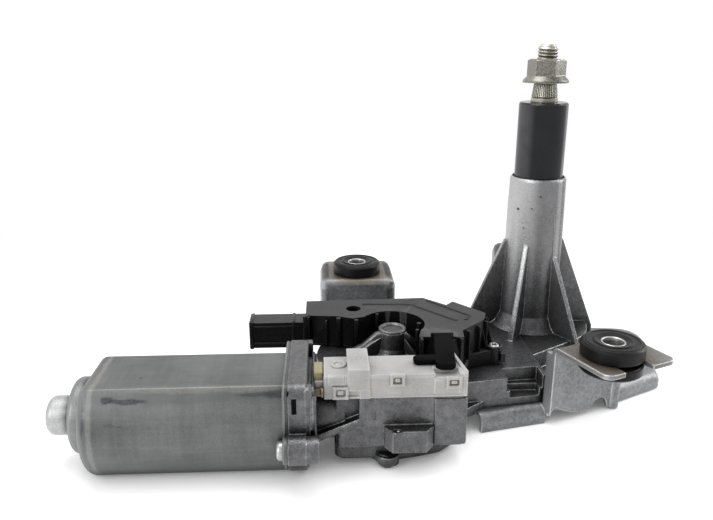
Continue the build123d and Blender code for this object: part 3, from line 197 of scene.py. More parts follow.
def castMetal(name, dark, light, rough=0.24, tower=None, pits=()):
    made, shader, place = startMaterial(name, Metallic=0.75)
    edge, rounded = edgeWearAndHighlight(place, 0.0009, 0.01, 0.16)
    cloud = noise(place, 60, 4).smooth(0.3, 0.7)
    mottle = noise(place, 420, 4, 0.65).smooth(0.3, 0.7)
    speck = noise(place, 2300, 2, 0.6).smooth(0.3, 0.7)
    tone = blend(cloud * 0.35 + mottle * 0.35 + speck * 0.3, dark, light)
    # Painted light: faces turned towards the window on the left get a lighter colour
    lit = litSide(place, 0.5, 1.0)
    tone = blend(lit * 0.55, tone, scaled(light, 1.7))
    # Painted light: the tower is lighter towards its top, with painted highlights on its lit side and a thin
    # painted glint
    if tower:
        rise = parts(place)[2].smooth(tower["low"], tower["high"])
        tone = blend(rise * (0.35 + speck * 0.15), tone, tower["colour"])
        glint = litSide(place, 0.975, 1.0, (0.62, -0.78, 0))
        tone = blend(rise * (lit * 0.9 + glint * 0.4), tone, tower["lit"])
    # Painted shade: darker colour in corners and creases
    tone = blend(cornerShade(place, 0.016, 0.1, 0.85) * 0.9, tone, scaled(dark, 0.2))
    # Lighter edges: partly wear, partly painted highlight
    tone = blend(edge * (0.15 + mottle * 0.45), tone, (0.4, 0.405, 0.41))
    for centre, radii in pits:
        tone = blend(patch(place, centre, radii, 0.35, 0.6, 900) * 0.9, tone, (0.03, 0.03, 0.035))
    tone.plug(shader.inputs["Base Color"])
    (rough + speck * 0.16 - edge * 0.1).plug(shader.inputs["Roughness"])
    relief(shader, speck * 0.5 + mottle * 0.7, 0.0002, 0.35, rounded)
    return made


def sheetMetal(name, dark, light, metallic=0.65, rough=0.34, spangle=0.0, marks=(), paintedCornerShade=0.6,
               edgeWearAndHighlightColour=(0.62, 0.63, 0.63), radius=0.0006, grain=1700, scratches=0.0, grainAmount=0.3):
    made, shader, place = startMaterial(name, Metallic=metallic)
    edge, rounded = edgeWearAndHighlight(place, radius)
    cloud = noise(place, 40, 5, 0.6).smooth(0.25, 0.75)
    fine = noise(place, grain, 3, 0.7).smooth(0.3, 0.7)
    mix = cloud * 0.45 + fine * grainAmount
    if spangle:
        cells = place.node("ShaderNodeTexVoronoi", output="Color",
                           inputs={"Vector": place, "Scale": 1000})
        mix = mix + (parts(cells)[0] - 0.5) * spangle
    if scratches:
        drawn = noise(place, 700, 3, 0.6, stretch=(0.05, 1.0, 1.0)).smooth(0.35, 0.7)
        upright = noise(place, 500, 3, 0.6, stretch=(1.0, 0.06, 0.06)).smooth(0.35, 0.7)
        mix = mix + (drawn + upright - 1) * scratches
    tone = blend(mix, dark, light)
    tone = stained(place, tone, marks, 0.3, 260, 0.55 + fine * 0.5)
    # Painted light: faces turned towards the window on the left get a lighter colour
    tone = blend(litSide(place, 0.5, 1.0) * 0.4, tone, scaled(light, 1.8))
    # Lighter edges: partly wear, partly painted highlight
    tone = blend(edge * (0.3 + fine * 0.4), tone, edgeWearAndHighlightColour)
    # Painted shade: darker colour in corners
    tone = blend(cornerShade(place, 0.008) * paintedCornerShade, tone, scaled(dark, 0.28))
    tone.plug(shader.inputs["Base Color"])
    (rough + fine * 0.18 + cloud * 0.06 - edge * 0.1).plug(shader.inputs["Roughness"])
    relief(shader, fine * 0.6 + cloud * 0.3, 0.0001, 0.16, rounded)
    return made


def mouldedPlastic(name, dark, light, rough=0.5, edgeWearAndHighlightColour=None, grain=1.0, shine=0.4,
                   radius=0.0004, shade=0.6, marks=(), edgeWearAndHighlightAmount=0.5, glints=()):
    made, shader, place = startMaterial(name, Metallic=0.0, Specular_IOR_Level=shine)
    edge, rounded = edgeWearAndHighlight(place, radius)
    cloud = noise(place, 120, 4).smooth(0.3, 0.7)
    fine = noise(place, 1500, 3, 0.7).smooth(0.3, 0.7)
    tone = blend(cloud * 0.6 + fine * 0.3, dark, light)
    tone = stained(place, tone, marks, 0.5, 300)
    # Lighter edges: partly wear, partly painted highlight
    if edgeWearAndHighlightColour:
        tone = blend(edge * edgeWearAndHighlightAmount, tone, edgeWearAndHighlightColour)
    # Painted highlights: glints on the sides that face the given directions
    for side, low, colour in glints:
        tone = blend(litSide(place, low, 1.0, side) * (0.7 + cloud * 0.3), tone, colour)
    # Painted shade: darker colour in corners
    tone = blend(cornerShade(place, 0.005, 0.2, 1.0) * shade, tone, scaled(dark, 0.4))
    tone.plug(shader.inputs["Base Color"])
    (rough + fine * 0.1 + cloud * 0.08 - 0.06).plug(shader.inputs["Roughness"])
    relief(shader, fine, 0.00006 * grain, 0.4, rounded)
    return made


# Black plastic whose upward faces are matt and dusty, and painted lighter as if lit from above, while its
# walls stay glossy and dark
def modulePlastic():
    values = {"wall": (0.006, 0.006, 0.0065), "top": (0.036, 0.036, 0.0375), "edge": (0.13, 0.13, 0.135)}
    made, shader, place = startMaterial("module", Metallic=0.0, Specular_IOR_Level=0.22)
    edge, rounded = edgeWearAndHighlight(place, 0.0004)
    normal = place.node("ShaderNodeNewGeometry", output="True Normal")
    upward = parts(normal)[2].smooth(0.5, 0.9)
    fine = noise(place, 1300, 3, 0.7).smooth(0.3, 0.7)
    cloud = noise(place, 90, 4).smooth(0.3, 0.7)
    top = blend(fine * 0.5 + cloud * 0.3, scaled(values["top"], 0.8), scaled(values["top"], 1.45))
    inland = parts(place)[1].smooth(-0.0585, -0.0570) * parts(place)[0].smooth(-0.0985, -0.0975)
    tone = blend(upward * inland, values["wall"], top)
    # Painted highlight on the upward edges
    tone = blend(edge * upward * (0.25 + fine * 0.35), tone, values["edge"])
    # Painted shade: darker colour in corners
    tone = blend(cornerShade(place, 0.004) * 0.7, tone, (0.004, 0.004, 0.004))
    tone.plug(shader.inputs["Base Color"])
    (upward * inland * 0.28 + fine * 0.06 + 0.2).plug(shader.inputs["Roughness"])
    relief(shader, fine, 0.00012, 0.5, rounded)
    return made


# The tower's colour and lit tones are painted light on its upper part and its lit side
dieCast = castMetal("die cast", (0.04, 0.04, 0.042), (0.175, 0.176, 0.181),
                    tower={"low": -0.050, "high": -0.022, "colour": (0.3, 0.3, 0.305),
                           "lit": (0.52, 0.52, 0.52)},
                    pits=[((-1.8, -11.5, -6.6), (0.5, 0.8, 0.4)), ((-4.8, -10.6, -11.7), (0.4, 0.8, 0.4)),
                          ((-9.4, -6.7, -12.5), (0.6, 0.8, 0.5)), ((-7.2, -9.0, -20.0), (0.3, 0.8, 0.3))])
stainTan = (0.105, 0.078, 0.046)
earMarks = [((x, y, 31.3), (17, 17, 3.4), 0.95, stainTan, {"soft": 0.3, "ragged": 5, "scale": 120})
            for x, y in grommetPlaces.values()]
earMarks.append(((3.0, -73.0, 26.5), (9, 9, 6), 0.5, (0.2, 0.16, 0.11),
                 {"soft": 0.5, "ragged": 5, "scale": 120}))
inkAndShade = (0.03, 0.032, 0.037)
scuff = (0.06, 0.065, 0.07)
canMarks = [
    ((-156.6, -86.8, 28.8), (2.0, 3, 1.0), 0.95, inkAndShade, {"ragged": 1.6}),
    ((-150.6, -87.2, 28.4), (6.0, 3, 0.75), 0.9, inkAndShade, {"ragged": 1.8}),
    ((-103.5, -86.2, 29.4), (5.0, 3, 1.0), 0.85, inkAndShade, {"ragged": 1.2}),
    ((-110.5, -86.4, 29.5), (6.0, 3, 0.45), 0.7, inkAndShade, {"ragged": 1.0}),
    ((-155.5, -90.7, 22.4), (1.6, 3, 0.5), 0.55, scuff, {}),
    ((-152.6, -90.8, 21.9), (0.8, 3, 0.4), 0.5, scuff, {}),
    ((-164.3, -90.0, 24.5), (0.8, 5, 6.0), 0.85, (0.035, 0.04, 0.045), {}),
    ((-148.5, -77.0, 31.3), (0.5, 0.5, 1), 0.8, inkAndShade, {}),
    ((-132.0, -87.6, 29.0), (34, 4, 1.6), 0.3, inkAndShade, {"soft": 0.6, "ragged": 2}),
    # bands of painted shade and painted highlight round the stepped end, and the bright boss
    ((-172.6, -72.2, 16.0), (0.8, 40, 40), 0.6, inkAndShade, {"soft": 0.4}),
    ((-169.3, -72.2, 16.0), (1.6, 40, 40), 0.5, (0.4, 0.41, 0.41), {"soft": 0.4}),
    ((-165.8, -72.2, 16.0), (0.7, 40, 40), 0.45, inkAndShade, {"soft": 0.5}),
    ((-162.2, -72.2, 16.0), (0.9, 40, 40), 0.35, (0.42, 0.42, 0.4), {"soft": 0.5}),
    ((-186.0, -72.2, 16.0), (14.0, 12, 12), 0.85, (0.6, 0.61, 0.61), {"soft": 0.1}),
    # pale dust on the top edge
    ((-128.0, -84.4, 31.0), (26, 1.6, 1.6), 0.18, (0.33, 0.3, 0.25), {"ragged": 3}),
    ((-162.5, -76.0, 31.2), (3.0, 9, 1.5), 0.2, (0.34, 0.31, 0.25), {"ragged": 4}),
]
whiteMarks = [
    # Painted shade: the first row darkens the raised block's front to brown where its recess is
    ((-80.0, -85.0, 29.6), (1.6, 2, 2.6), 0.3, (0.36, 0.3, 0.22), {}),
    ((-66.5, -85.0, 32.3), (1.5, 1.6, 1.2), 0.6, (0.34, 0.27, 0.18), {}),
    ((-48.4, -85.0, 31.2), (1.5, 1.6, 1.2), 0.6, (0.34, 0.27, 0.18), {}),
    ((-74.3, -85.0, 30.0), (1.2, 2, 3.0), 0.25, (0.45, 0.38, 0.28), {}),
]
looks = {
    "die_cast": dieCast,
    "can_steel": sheetMetal("can steel", (0.075, 0.079, 0.079), (0.22, 0.226, 0.225), marks=canMarks,
                            paintedCornerShade=0.9, edgeWearAndHighlightColour=(0.46, 0.46, 0.44), radius=0.0009, scratches=0.09,
                            grain=2600),
    "screw_zinc": sheetMetal("screw zinc", (0.3, 0.3, 0.3), (0.56, 0.56, 0.54), metallic=0.85, rough=0.25),
    "ferrite": mouldedPlastic("ferrite", (0.05, 0.05, 0.055), (0.1, 0.1, 0.11)),
    "sintered_bronze": castMetal("sintered bronze", (0.4, 0.28, 0.14), (0.6, 0.45, 0.26), rough=0.4),
    "ground_steel": sheetMetal("ground steel", (0.17, 0.162, 0.13), (0.62, 0.6, 0.52), rough=0.22,
                               metallic=0.85, edgeWearAndHighlightColour=(0.8, 0.79, 0.7), radius=0.0002, paintedCornerShade=0.95),
    "core_steel": sheetMetal("core steel", (0.2, 0.2, 0.22), (0.36, 0.36, 0.38)),
    "copper": sheetMetal("copper", (0.55, 0.27, 0.14), (0.78, 0.46, 0.28), rough=0.32, metallic=1.0),
    "inner_plastic": mouldedPlastic("inner plastic", (0.1, 0.085, 0.07), (0.18, 0.16, 0.13)),
    "carbon": mouldedPlastic("carbon", (0.03, 0.03, 0.03), (0.07, 0.07, 0.07)),
    "spring_steel": sheetMetal("spring steel", (0.4, 0.4, 0.42), (0.58, 0.58, 0.6), rough=0.3),
    "wheel_plastic": mouldedPlastic("wheel plastic", (0.66, 0.61, 0.5), (0.84, 0.8, 0.7), rough=0.4),
    "link_steel": sheetMetal("link steel", (0.3, 0.29, 0.28), (0.5, 0.49, 0.47)),
    "nut_steel": sheetMetal("nut steel", (0.035, 0.033, 0.028), (0.25, 0.24, 0.212), rough=0.22,
                            metallic=0.85, grainAmount=0.7, edgeWearAndHighlightColour=(0.75, 0.74, 0.68), radius=0.0004),
    "rubber_black": mouldedPlastic("rubber", (0.005, 0.0048, 0.005), (0.013, 0.0125, 0.0128), rough=0.32,
                                   edgeWearAndHighlightColour=(0.04, 0.04, 0.042), radius=0.0007, shine=0.14),
    "sleeve_gloss": mouldedPlastic("sleeve", (0.006, 0.0064, 0.009), (0.011, 0.012, 0.016), rough=0.14,
                                   glints=(((-0.93, -0.37, 0), 0.8, (0.07, 0.069, 0.077)),
                                           ((0.8, -0.6, 0), 0.985, (0.12, 0.12, 0.13))),
                                   grain=0.2, shine=0.26, edgeWearAndHighlightColour=(0.09, 0.095, 0.11)),
    "galvanised": sheetMetal("galvanised sheet", (0.13, 0.134, 0.138), (0.37, 0.38, 0.386), metallic=0.7,
                             spangle=0.3, marks=earMarks, edgeWearAndHighlightColour=(0.7, 0.71, 0.71), radius=0.0009,
                             paintedCornerShade=0.45),
    "module_black": modulePlastic(),
    "board": mouldedPlastic("board", (0.02, 0.12, 0.06), (0.05, 0.22, 0.12), rough=0.3),
    "cover_white": mouldedPlastic("white cover", (0.33, 0.323, 0.313), (0.455, 0.448, 0.437), rough=0.3,
                                  grain=0.6, shade=0.4, marks=whiteMarks, radius=0.0008,
                                  edgeWearAndHighlightColour=(0.78, 0.775, 0.76), edgeWearAndHighlightAmount=0.75),
    "pure_black": mouldedPlastic("pure black", (0.003, 0.003, 0.0032), (0.008, 0.008, 0.0085), shine=0.01),
    "plug_tan": mouldedPlastic("tan plug", (0.22, 0.195, 0.1), (0.33, 0.295, 0.165), rough=0.36),
}
for entry in frame["record"]["subparts"]:
    holder = nodes[entry["node"]]
    holder.data.materials.clear()
    holder.data.materials.append(looks[entry["material_slot"]])
print("stage: materials on the frame")


# Mesh helpers for the pieces that the frame carries; sizes are in millimetres
def finishPiece(source, name, slotName, look=None, body="housing", bevel=0.0, segments=2, sharp=35,
                angle=30, hides=()):
    mesh = source
    if isinstance(source, bmesh.types.BMesh):
        mesh = bpy.data.meshes.new(name)
        bmesh.ops.recalc_face_normals(source, faces=source.faces)
        source.to_mesh(mesh)
        source.free()
    piece = bpy.data.objects.new(name, mesh)
    bpy.context.collection.objects.link(piece)
    if bevel:
        rounding = piece.modifiers.new("rounding", "BEVEL")
        rounding.width = bevel * mm
        rounding.segments = segments
        rounding.limit_method = "ANGLE"
        rounding.angle_limit = radians(angle)
        evaluated = piece.evaluated_get(bpy.context.evaluated_depsgraph_get())
        rounded = bpy.data.meshes.new_from_object(evaluated)
        piece.modifiers.remove(rounding)
        piece.data = rounded
    piece.data.materials.clear()
    piece.data.materials.append(looks[look or slotName])
    piece.data.shade_smooth()
    piece.data.set_sharp_from_angle(angle=radians(sharp))
    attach(piece, body)
    if hides:
        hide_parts(*hides)
    return piece


# A block between two outlines of as many corners, in metres
def addBlock(bm, first, second):
    near = [bm.verts.new(corner) for corner in first]
    far = [bm.verts.new(corner) for corner in second]
    bm.faces.new(near)
    bm.faces.new(far)
    for index in range(len(near)):
        after = (index + 1) % len(near)
        bm.faces.new((near[index], near[after], far[after], far[index]))


def addPrism(bm, outline, low, high):
    addBlock(bm, *([(x * mm, y * mm, level * mm) for x, y in outline] for level in (low, high)))


def addBox(bm, low, high):
    outline = [(low[0], low[1]), (high[0], low[1]), (high[0], high[1]), (low[0], high[1])]
    addPrism(bm, outline, low[2], high[2])


# A surface of revolution: rings along the profile, joined end to end where it is a loop
def addLathe(bm, profile, origin=(0, 0, 0), axis=(0, 0, 1), segments=64, loop=False):
    along = Vector(axis).normalized()
    side = along.orthogonal().normalized()
    other = along.cross(side)
    rings = []
    for radius, height in profile:
        ring = []
        for index in range(segments):
            turn = 2 * pi * index / segments
            spot = Vector(origin) + along * height + (side * cos(turn) + other * sin(turn)) * radius
            ring.append(bm.verts.new(spot * mm))
        rings.append(ring)
    pairs = list(zip(rings, rings[1:]))
    if loop:
        pairs.append((rings[-1], rings[0]))
    for lower, upper in pairs:
        for index in range(segments):
            after = (index + 1) % segments
            bm.faces.new((lower[index], lower[after], upper[after], upper[index]))
    return rings


def capped(bm, rings):
    bm.faces.new(rings[0])
    bm.faces.new(rings[-1])


# A piece turned about an upright axis: a closed ring where it is a loop, else with flat ends
def turnedPiece(name, slotName, profile, origin=(0, 0, 0), segments=48, loop=False, **finish):
    bm = bmesh.new()
    rings = addLathe(bm, profile, origin, segments=segments, loop=loop)
    if not loop:
        capped(bm, rings)
    finishPiece(bm, name, slotName, **finish)


def boxPiece(name, slotName, *boxes, **finish):
    bm = bmesh.new()
    for low, high in boxes:
        addBox(bm, low, high)
    finishPiece(bm, name, slotName, **finish)


def prismPiece(name, slotName, outline, low, high, **finish):
    bm = bmesh.new()
    addPrism(bm, outline, low, high)
    finishPiece(bm, name, slotName, **finish)


# Geometry Nodes: a tree with named inputs, run once on a mesh and stored
class Grower:
    def __init__(self, name, **values):
        self.tree = bpy.data.node_groups.new(name, "GeometryNodeTree")
        self.tree.interface.new_socket("Geometry", in_out="INPUT", socket_type="NodeSocketGeometry")
        self.values = values
        for key, value in values.items():
            kind = "NodeSocketInt" if isinstance(value, int) else "NodeSocketFloat"
            self.tree.interface.new_socket(key, in_out="INPUT", socket_type=kind)
        self.tree.interface.new_socket("Geometry", in_out="OUTPUT", socket_type="NodeSocketGeometry")
        self.source = self.tree.nodes.new("NodeGroupInput")
        self.target = self.tree.nodes.new("NodeGroupOutput")

    def given(self, key):
        return self.source.outputs[key]

    def node(self, kind, inputs=(), output=0, **settings):
        made = self.tree.nodes.new(kind)
        for key, value in settings.items():
            setattr(made, key, value)
        for key, value in dict(inputs).items():
            if isinstance(value, bpy.types.NodeSocket):
                self.tree.links.new(value, made.inputs[key])
            else:
                made.inputs[key].default_value = value
        return made.outputs[output]

    def grow(self, result, look, start=None):
        whole = self.node("GeometryNodeRealizeInstances", {"Geometry": result})
        dressed = self.node("GeometryNodeSetMaterial", {"Geometry": whole, "Material": look})
        self.tree.links.new(dressed, self.target.inputs["Geometry"])
        seed = start or bpy.data.meshes.new(self.tree.name)
        holder = bpy.data.objects.new(self.tree.name, seed)
        bpy.context.collection.objects.link(holder)
        run = holder.modifiers.new("growth", "NODES")
        run.node_group = self.tree
        for item in self.tree.interface.items_tree:
            if item.in_out == "INPUT" and item.name in self.values:
                run[item.identifier] = self.values[item.name]
        evaluated = holder.evaluated_get(bpy.context.evaluated_depsgraph_get())
        mesh = bpy.data.meshes.new_from_object(evaluated)
        holder.modifiers.remove(run)
        bpy.data.objects.remove(holder)
        return mesh


# Round bars along polylines: a groove's lips, beads of sheet metal, moulded ribs
def growPipes(name, lines, radius, look, closed=False):
    bm = bmesh.new()
    for line in lines:
        spots = [bm.verts.new(Vector(spot) * mm) for spot in line]
        for first, second in zip(spots, spots[1:]):
            bm.edges.new((first, second))
        if closed:
            bm.edges.new((spots[-1], spots[0]))
    start = bpy.data.meshes.new(name)
    bm.to_mesh(start)
    bm.free()
    pipes = Grower(name, Radius=radius * mm, Sides=8)
    path = pipes.node("GeometryNodeMeshToCurve", {"Mesh": pipes.source.outputs["Geometry"]})
    section = pipes.node("GeometryNodeCurvePrimitiveCircle", {
        "Resolution": pipes.given("Sides"), "Radius": pipes.given("Radius")}, mode="RADIUS")
    tube = pipes.node("GeometryNodeCurveToMesh",
                      {"Curve": path, "Profile Curve": section, "Fill Caps": True})
    return pipes.grow(tube, look, start)


# A CAD shape with soft corners or a bare place: its own mesh less the cutters' volumes
def trimmed(node, name, *cutters):
    mesh = nodes[node].data.copy()
    mesh.transform(nodes[node].matrix_world)
    for cutter in cutters:
        whole = bpy.data.objects.new(name, mesh)
        bmesh.ops.recalc_face_normals(cutter, faces=cutter.faces)
        tool = bpy.data.objects.new(name + "Cutter", bpy.data.meshes.new(name + "Cutter"))
        cutter.to_mesh(tool.data)
        cutter.free()
        bpy.context.collection.objects.link(whole)
        bpy.context.collection.objects.link(tool)
        cut = whole.modifiers.new("cut", "BOOLEAN")
        cut.operation = "DIFFERENCE"
        cut.solver = "EXACT"
        cut.object = tool
        evaluated = whole.evaluated_get(bpy.context.evaluated_depsgraph_get())
        mesh = bpy.data.meshes.new_from_object(evaluated)
        whole.modifiers.remove(cut)
        bpy.data.objects.remove(whole)
        bpy.data.objects.remove(tool)
    return mesh


# Bracket: the rear ears have drawn corners, whose sharp CAD edges are cut away
ears = {
    "top": bench + 31.3, "radius": 4.2, "wall": 1.9, "flank": 7.0, "drop": 20.0,
    "places": [{"at": grommetPlaces["rear_left"], "turn": 0, "back": 13.0, "reach": 16.0, "half": 17.2},
               {"at": grommetPlaces["rear_right"], "turn": -14, "back": 14.0, "reach": 13.5, "half": 17.6}],
}
quarter = [pi / 2 * step / 8 for step in range(9)]


def cornerOutline(x, z, side):
    radius = ears["radius"]
    outline = [(x - side * radius, z + 1.5), (x + side * 1.5, z + 1.5), (x + side * 1.5, z - radius)]
    for turn in quarter:
        outline.append((x - side * radius * (1 - cos(turn)), z - radius * (1 - sin(turn))))
    return outline


# A drawn corner's own wall: a quarter ring and a straight flank, seen end on
def cornerWall(x, z, side):
    radius = ears["radius"]
    hollow = radius - ears["wall"]
    outer = [(x - side * radius * (1 - cos(turn)), z - radius * (1 - sin(turn)))
             for turn in reversed(quarter)]
    inner = [(x - side * (radius - hollow * cos(turn)), z - radius + hollow * sin(turn)) for turn in quarter]
    foot = z - ears["flank"]
    return [*outer, (x, foot), (x - side * ears["wall"], foot), *inner]


# Places on an ear: across it, along it and upwards, from the middle of its grommet
class EarFrame:
    def __init__(self, ear):
        turn = radians(-ear["turn"])
        self.ahead = Vector((sin(turn), cos(turn), 0))
        self.across = Vector((cos(turn), -sin(turn), 0))
        self.middle = Vector((*ear["at"], 0))

    def onShelf(self, a, b, level):
        return self.middle + self.across * a + Vector((0, 0, b)) + self.ahead * level

    def onRiser(self, a, b, level):
        return self.middle + self.across * a - self.ahead * b + Vector((0, 0, level))


def sweep(bm, outline, place, start, end):
    addBlock(bm, *([place(a, b, level) * mm for a, b in outline] for level in (start, end)))


shelfCutter = bmesh.new()
riserCutter = bmesh.new()
walls = bmesh.new()
top = ears["top"]
radius = ears["radius"]
ballTurns = [pi / 12 * step for step in range(-5, 6)]
ball = [(radius * cos(turn), radius * sin(turn)) for turn in ballTurns]
for ear in ears["places"]:
    seen = EarFrame(ear)
    back = ear["back"]
    reach = ear["reach"]
    for side in (-1, 1):
        edge = side * ear["half"]
        sweep(shelfCutter, cornerOutline(edge, top, side), seen.onShelf, -back - 1, reach + 1)
        sweep(riserCutter, cornerOutline(edge, back, side), seen.onRiser, top - ears["drop"] - 2, top + 1)
        sweep(walls, cornerWall(edge, top, side), seen.onShelf, radius - back, reach - 3)
        sweep(walls, cornerWall(edge, back, side), seen.onRiser, top - ears["drop"], top - radius)
        centre = seen.onRiser(edge - side * radius, back - radius, top - radius)
        capped(walls, addLathe(walls, ball, centre, segments=32))
bracket = trimmed("mounting_bracket", "bracketSheet", shelfCutter, riserCutter)
finishPiece(bracket, "bracketSheet", "galvanised", hides=("mounting_bracket",), sharp=8)
finishPiece(walls, "earWalls", "galvanised")
cutter = bmesh.new()
addBox(cutter, (-62.0, -83.0, bench + 34.15), (-43.0, -57.65, bench + 40.0))  # room for the separate arm
case = trimmed("module_cover", "moduleCase", cutter)
finishPiece(case, "moduleCase", "module_black", hides=("module_cover",))
print("stage: bracket and module case")


# Output spindle: turned body, splined taper and threaded end
spindle = {
    "foot": -70.6, "footR": 4.2, "step": -68.1, "bodyR": 4.99, "sleeveTop": 29.8, "collarR": 5.3,
    "collarTop": 31.4, "taperFoot": 31.9, "taperFootR": 4.75, "taperTop": 37.4, "taperTopR": 4.05,
    "splines": 40, "splineR": 4.5, "splineMiddle": 34.6, "splineSize": (0.55, 0.36, 5.5), "splineLean": 6.8,
    "coreR": 3.3, "chamfer": 51.2, "end": 51.95, "endR": 2.7,
    "pitch": 1.25, "threadEnd": 51.1, "threadR": 3.45, "threadDepth": 0.6,
}
steel = looks["ground_steel"]
turnedPiece("spindleBody", "ground_steel", [
    (spindle["footR"], spindle["foot"]), (spindle["footR"], spindle["step"]),
    (spindle["bodyR"], spindle["step"]), (spindle["bodyR"], spindle["sleeveTop"]),
    (spindle["collarR"], spindle["sleeveTop"] + 0.1), (spindle["collarR"], spindle["collarTop"]),
    (spindle["taperFootR"] + 0.3, spindle["taperFoot"] - 0.3), (spindle["taperFootR"], spindle["taperFoot"]),
    (spindle["taperTopR"], spindle["taperTop"]), (spindle["coreR"], spindle["taperTop"] + 0.1),
    (spindle["coreR"], spindle["chamfer"]), (spindle["endR"], spindle["end"])],
    segments=64, body="spindle", hides=("output_spindle",))

splines = Grower("splines", Count=spindle["splines"], Radius=spindle["splineR"] * mm,
                 Height=spindle["splineMiddle"] * mm)
circle = splines.node("GeometryNodeMeshCircle", {
    "Vertices": splines.given("Count"), "Radius": splines.given("Radius")})
tooth = splines.node("GeometryNodeMeshCube", {"Size": scaled(spindle["splineSize"], mm)})
leaning = splines.node("GeometryNodeTransform", {
    "Geometry": tooth, "Rotation": (0, -radians(spindle["splineLean"]), 0)})
number = splines.node("GeometryNodeInputIndex")
share = splines.node("ShaderNodeMath", {0: number, 1: 2 * pi / spindle["splines"]}, operation="MULTIPLY")
turn = splines.node("ShaderNodeCombineXYZ", {"Z": share})
ring = splines.node("GeometryNodeInstanceOnPoints", {
    "Points": circle, "Instance": leaning, "Rotation": turn})
lift = splines.node("ShaderNodeCombineXYZ", {"Z": splines.given("Height")})
raised = splines.node("GeometryNodeTransform", {"Geometry": ring, "Translation": lift})
finishPiece(splines.grow(raised, steel), "spindleSplines", "ground_steel", body="spindle", sharp=20)

threadLength = spindle["threadEnd"] - spindle["taperTop"]
thread = Grower("thread", Turns=threadLength / spindle["pitch"], Core=spindle["threadR"] * mm,
                Length=threadLength * mm, Depth=spindle["threadDepth"] * mm)
path = thread.node("GeometryNodeCurveSpiral", {
    "Resolution": 48, "Rotations": thread.given("Turns"), "Start Radius": thread.given("Core"),
    "End Radius": thread.given("Core"), "Height": thread.given("Length")})
upright = thread.node("GeometryNodeSetCurveNormal", {"Curve": path}, mode="Z_UP")
flank = thread.node("GeometryNodeCurvePrimitiveCircle", {
    "Resolution": 4, "Radius": thread.given("Depth")}, mode="RADIUS")
coil = thread.node("GeometryNodeCurveToMesh", {
    "Curve": upright, "Profile Curve": flank, "Fill Caps": True})
lift = thread.node("GeometryNodeTransform", {
    "Geometry": coil, "Translation": (0, 0, spindle["taperTop"] * mm)})
finishPiece(thread.grow(lift, steel), "spindleThread", "ground_steel", body="spindle", sharp=20)
print("stage: spindle")


# Screw heads with a cross recess
head = {"dome": 0.35, "round": 0.62, "cross": 0.62, "slot": 0.2, "depth": 0.6, "narrows": 0.8}


def addScrewHead(bm, centre, axis, radius, height):
    along = Vector(axis).normalized()
    side = along.orthogonal().normalized()
    other = along.cross(side)
    rise = height - head["dome"] * radius
    profile = [(radius, 0), (radius, rise)]
    for step in range(1, 5):
        turn = step / 5 * pi / 2
        profile.append((radius * cos(turn * head["round"]), rise + head["dome"] * radius * sin(turn)))
    rings = addLathe(bm, profile, centre, axis, 32)
    bm.faces.new(rings[0])
    top = profile[-1][1]
    arm = radius * head["cross"]
    half = radius * head["slot"]
    plus = [(arm, half), (half, half), (half, arm), (-half, arm), (-half, half), (-arm, half),
            (-arm, -half), (-half, -half), (-half, -arm), (half, -arm), (half, -half), (arm, -half)]
    centre = Vector(centre)
    floor = centre + along * (top - head["depth"] * radius)
    upper = [bm.verts.new((centre + side * a + other * b + along * top) * mm) for a, b in plus]
    lower = [bm.verts.new((floor + (side * a + other * b) * head["narrows"]) * mm) for a, b in plus]
    for index in range(len(plus)):
        after = (index + 1) % len(plus)
        bm.faces.new((upper[index], upper[after], lower[after], lower[index]))
    bm.faces.new(lower)
    edges = {edge for vert in rings[-1] for edge in vert.link_edges if edge.other_vert(vert) in rings[-1]}
    edges |= {edge for vert in upper for edge in vert.link_edges if edge.other_vert(vert) in upper}
    bmesh.ops.triangle_fill(bm, use_beauty=True, use_dissolve=False, edges=list(edges))


flange = {
    "x": -101.0, "axisY": -72.2, "axisZ": bench + 16.0, "lugs": ((-22.6, -1.4), (22.6, 1.4)),
    "halfY": 19.6, "top": 18.0, "topRadius": 4.0, "bottom": -15.0, "bottomRadius": 9.0,
    "screwHead": (3.0, 2.1), "shankR": 1.98, "shank": 8.4,
}
bm = bmesh.new()
for out, rise in flange["lugs"]:
    spot = (flange["x"] - 1.5, flange["axisY"] + out, flange["axisZ"] + rise)
    shank = [(flange["shankR"], 0), (flange["shankR"], -flange["shank"])]
    capped(bm, addLathe(bm, shank, spot, (-1, 0, 0), 24))
    addScrewHead(bm, spot, (-1, 0, 0), *flange["screwHead"])
finishPiece(bm, "flangeScrews", "screw_zinc", hides=("yoke_screws",), sharp=30)

moduleScrews = {"seat": bench + 23.4, "head": (2.1, 1.5), "shankR": 1.28,
                "places": (((-25.3, -42.4), 10.0), ((-78.0, -29.0), 2.0))}
bm = bmesh.new()
for place, length in moduleScrews["places"]:
    spot = (*place, moduleScrews["seat"])
    shank = [(moduleScrews["shankR"], 0), (moduleScrews["shankR"], -length)]
    capped(bm, addLathe(bm, shank, spot, segments=24))
    addScrewHead(bm, spot, (0, 0, 1), *moduleScrews["head"])
finishPiece(bm, "moduleScrewHeads", "screw_zinc", hides=("module_screws",), sharp=30)
print("stage: screws")


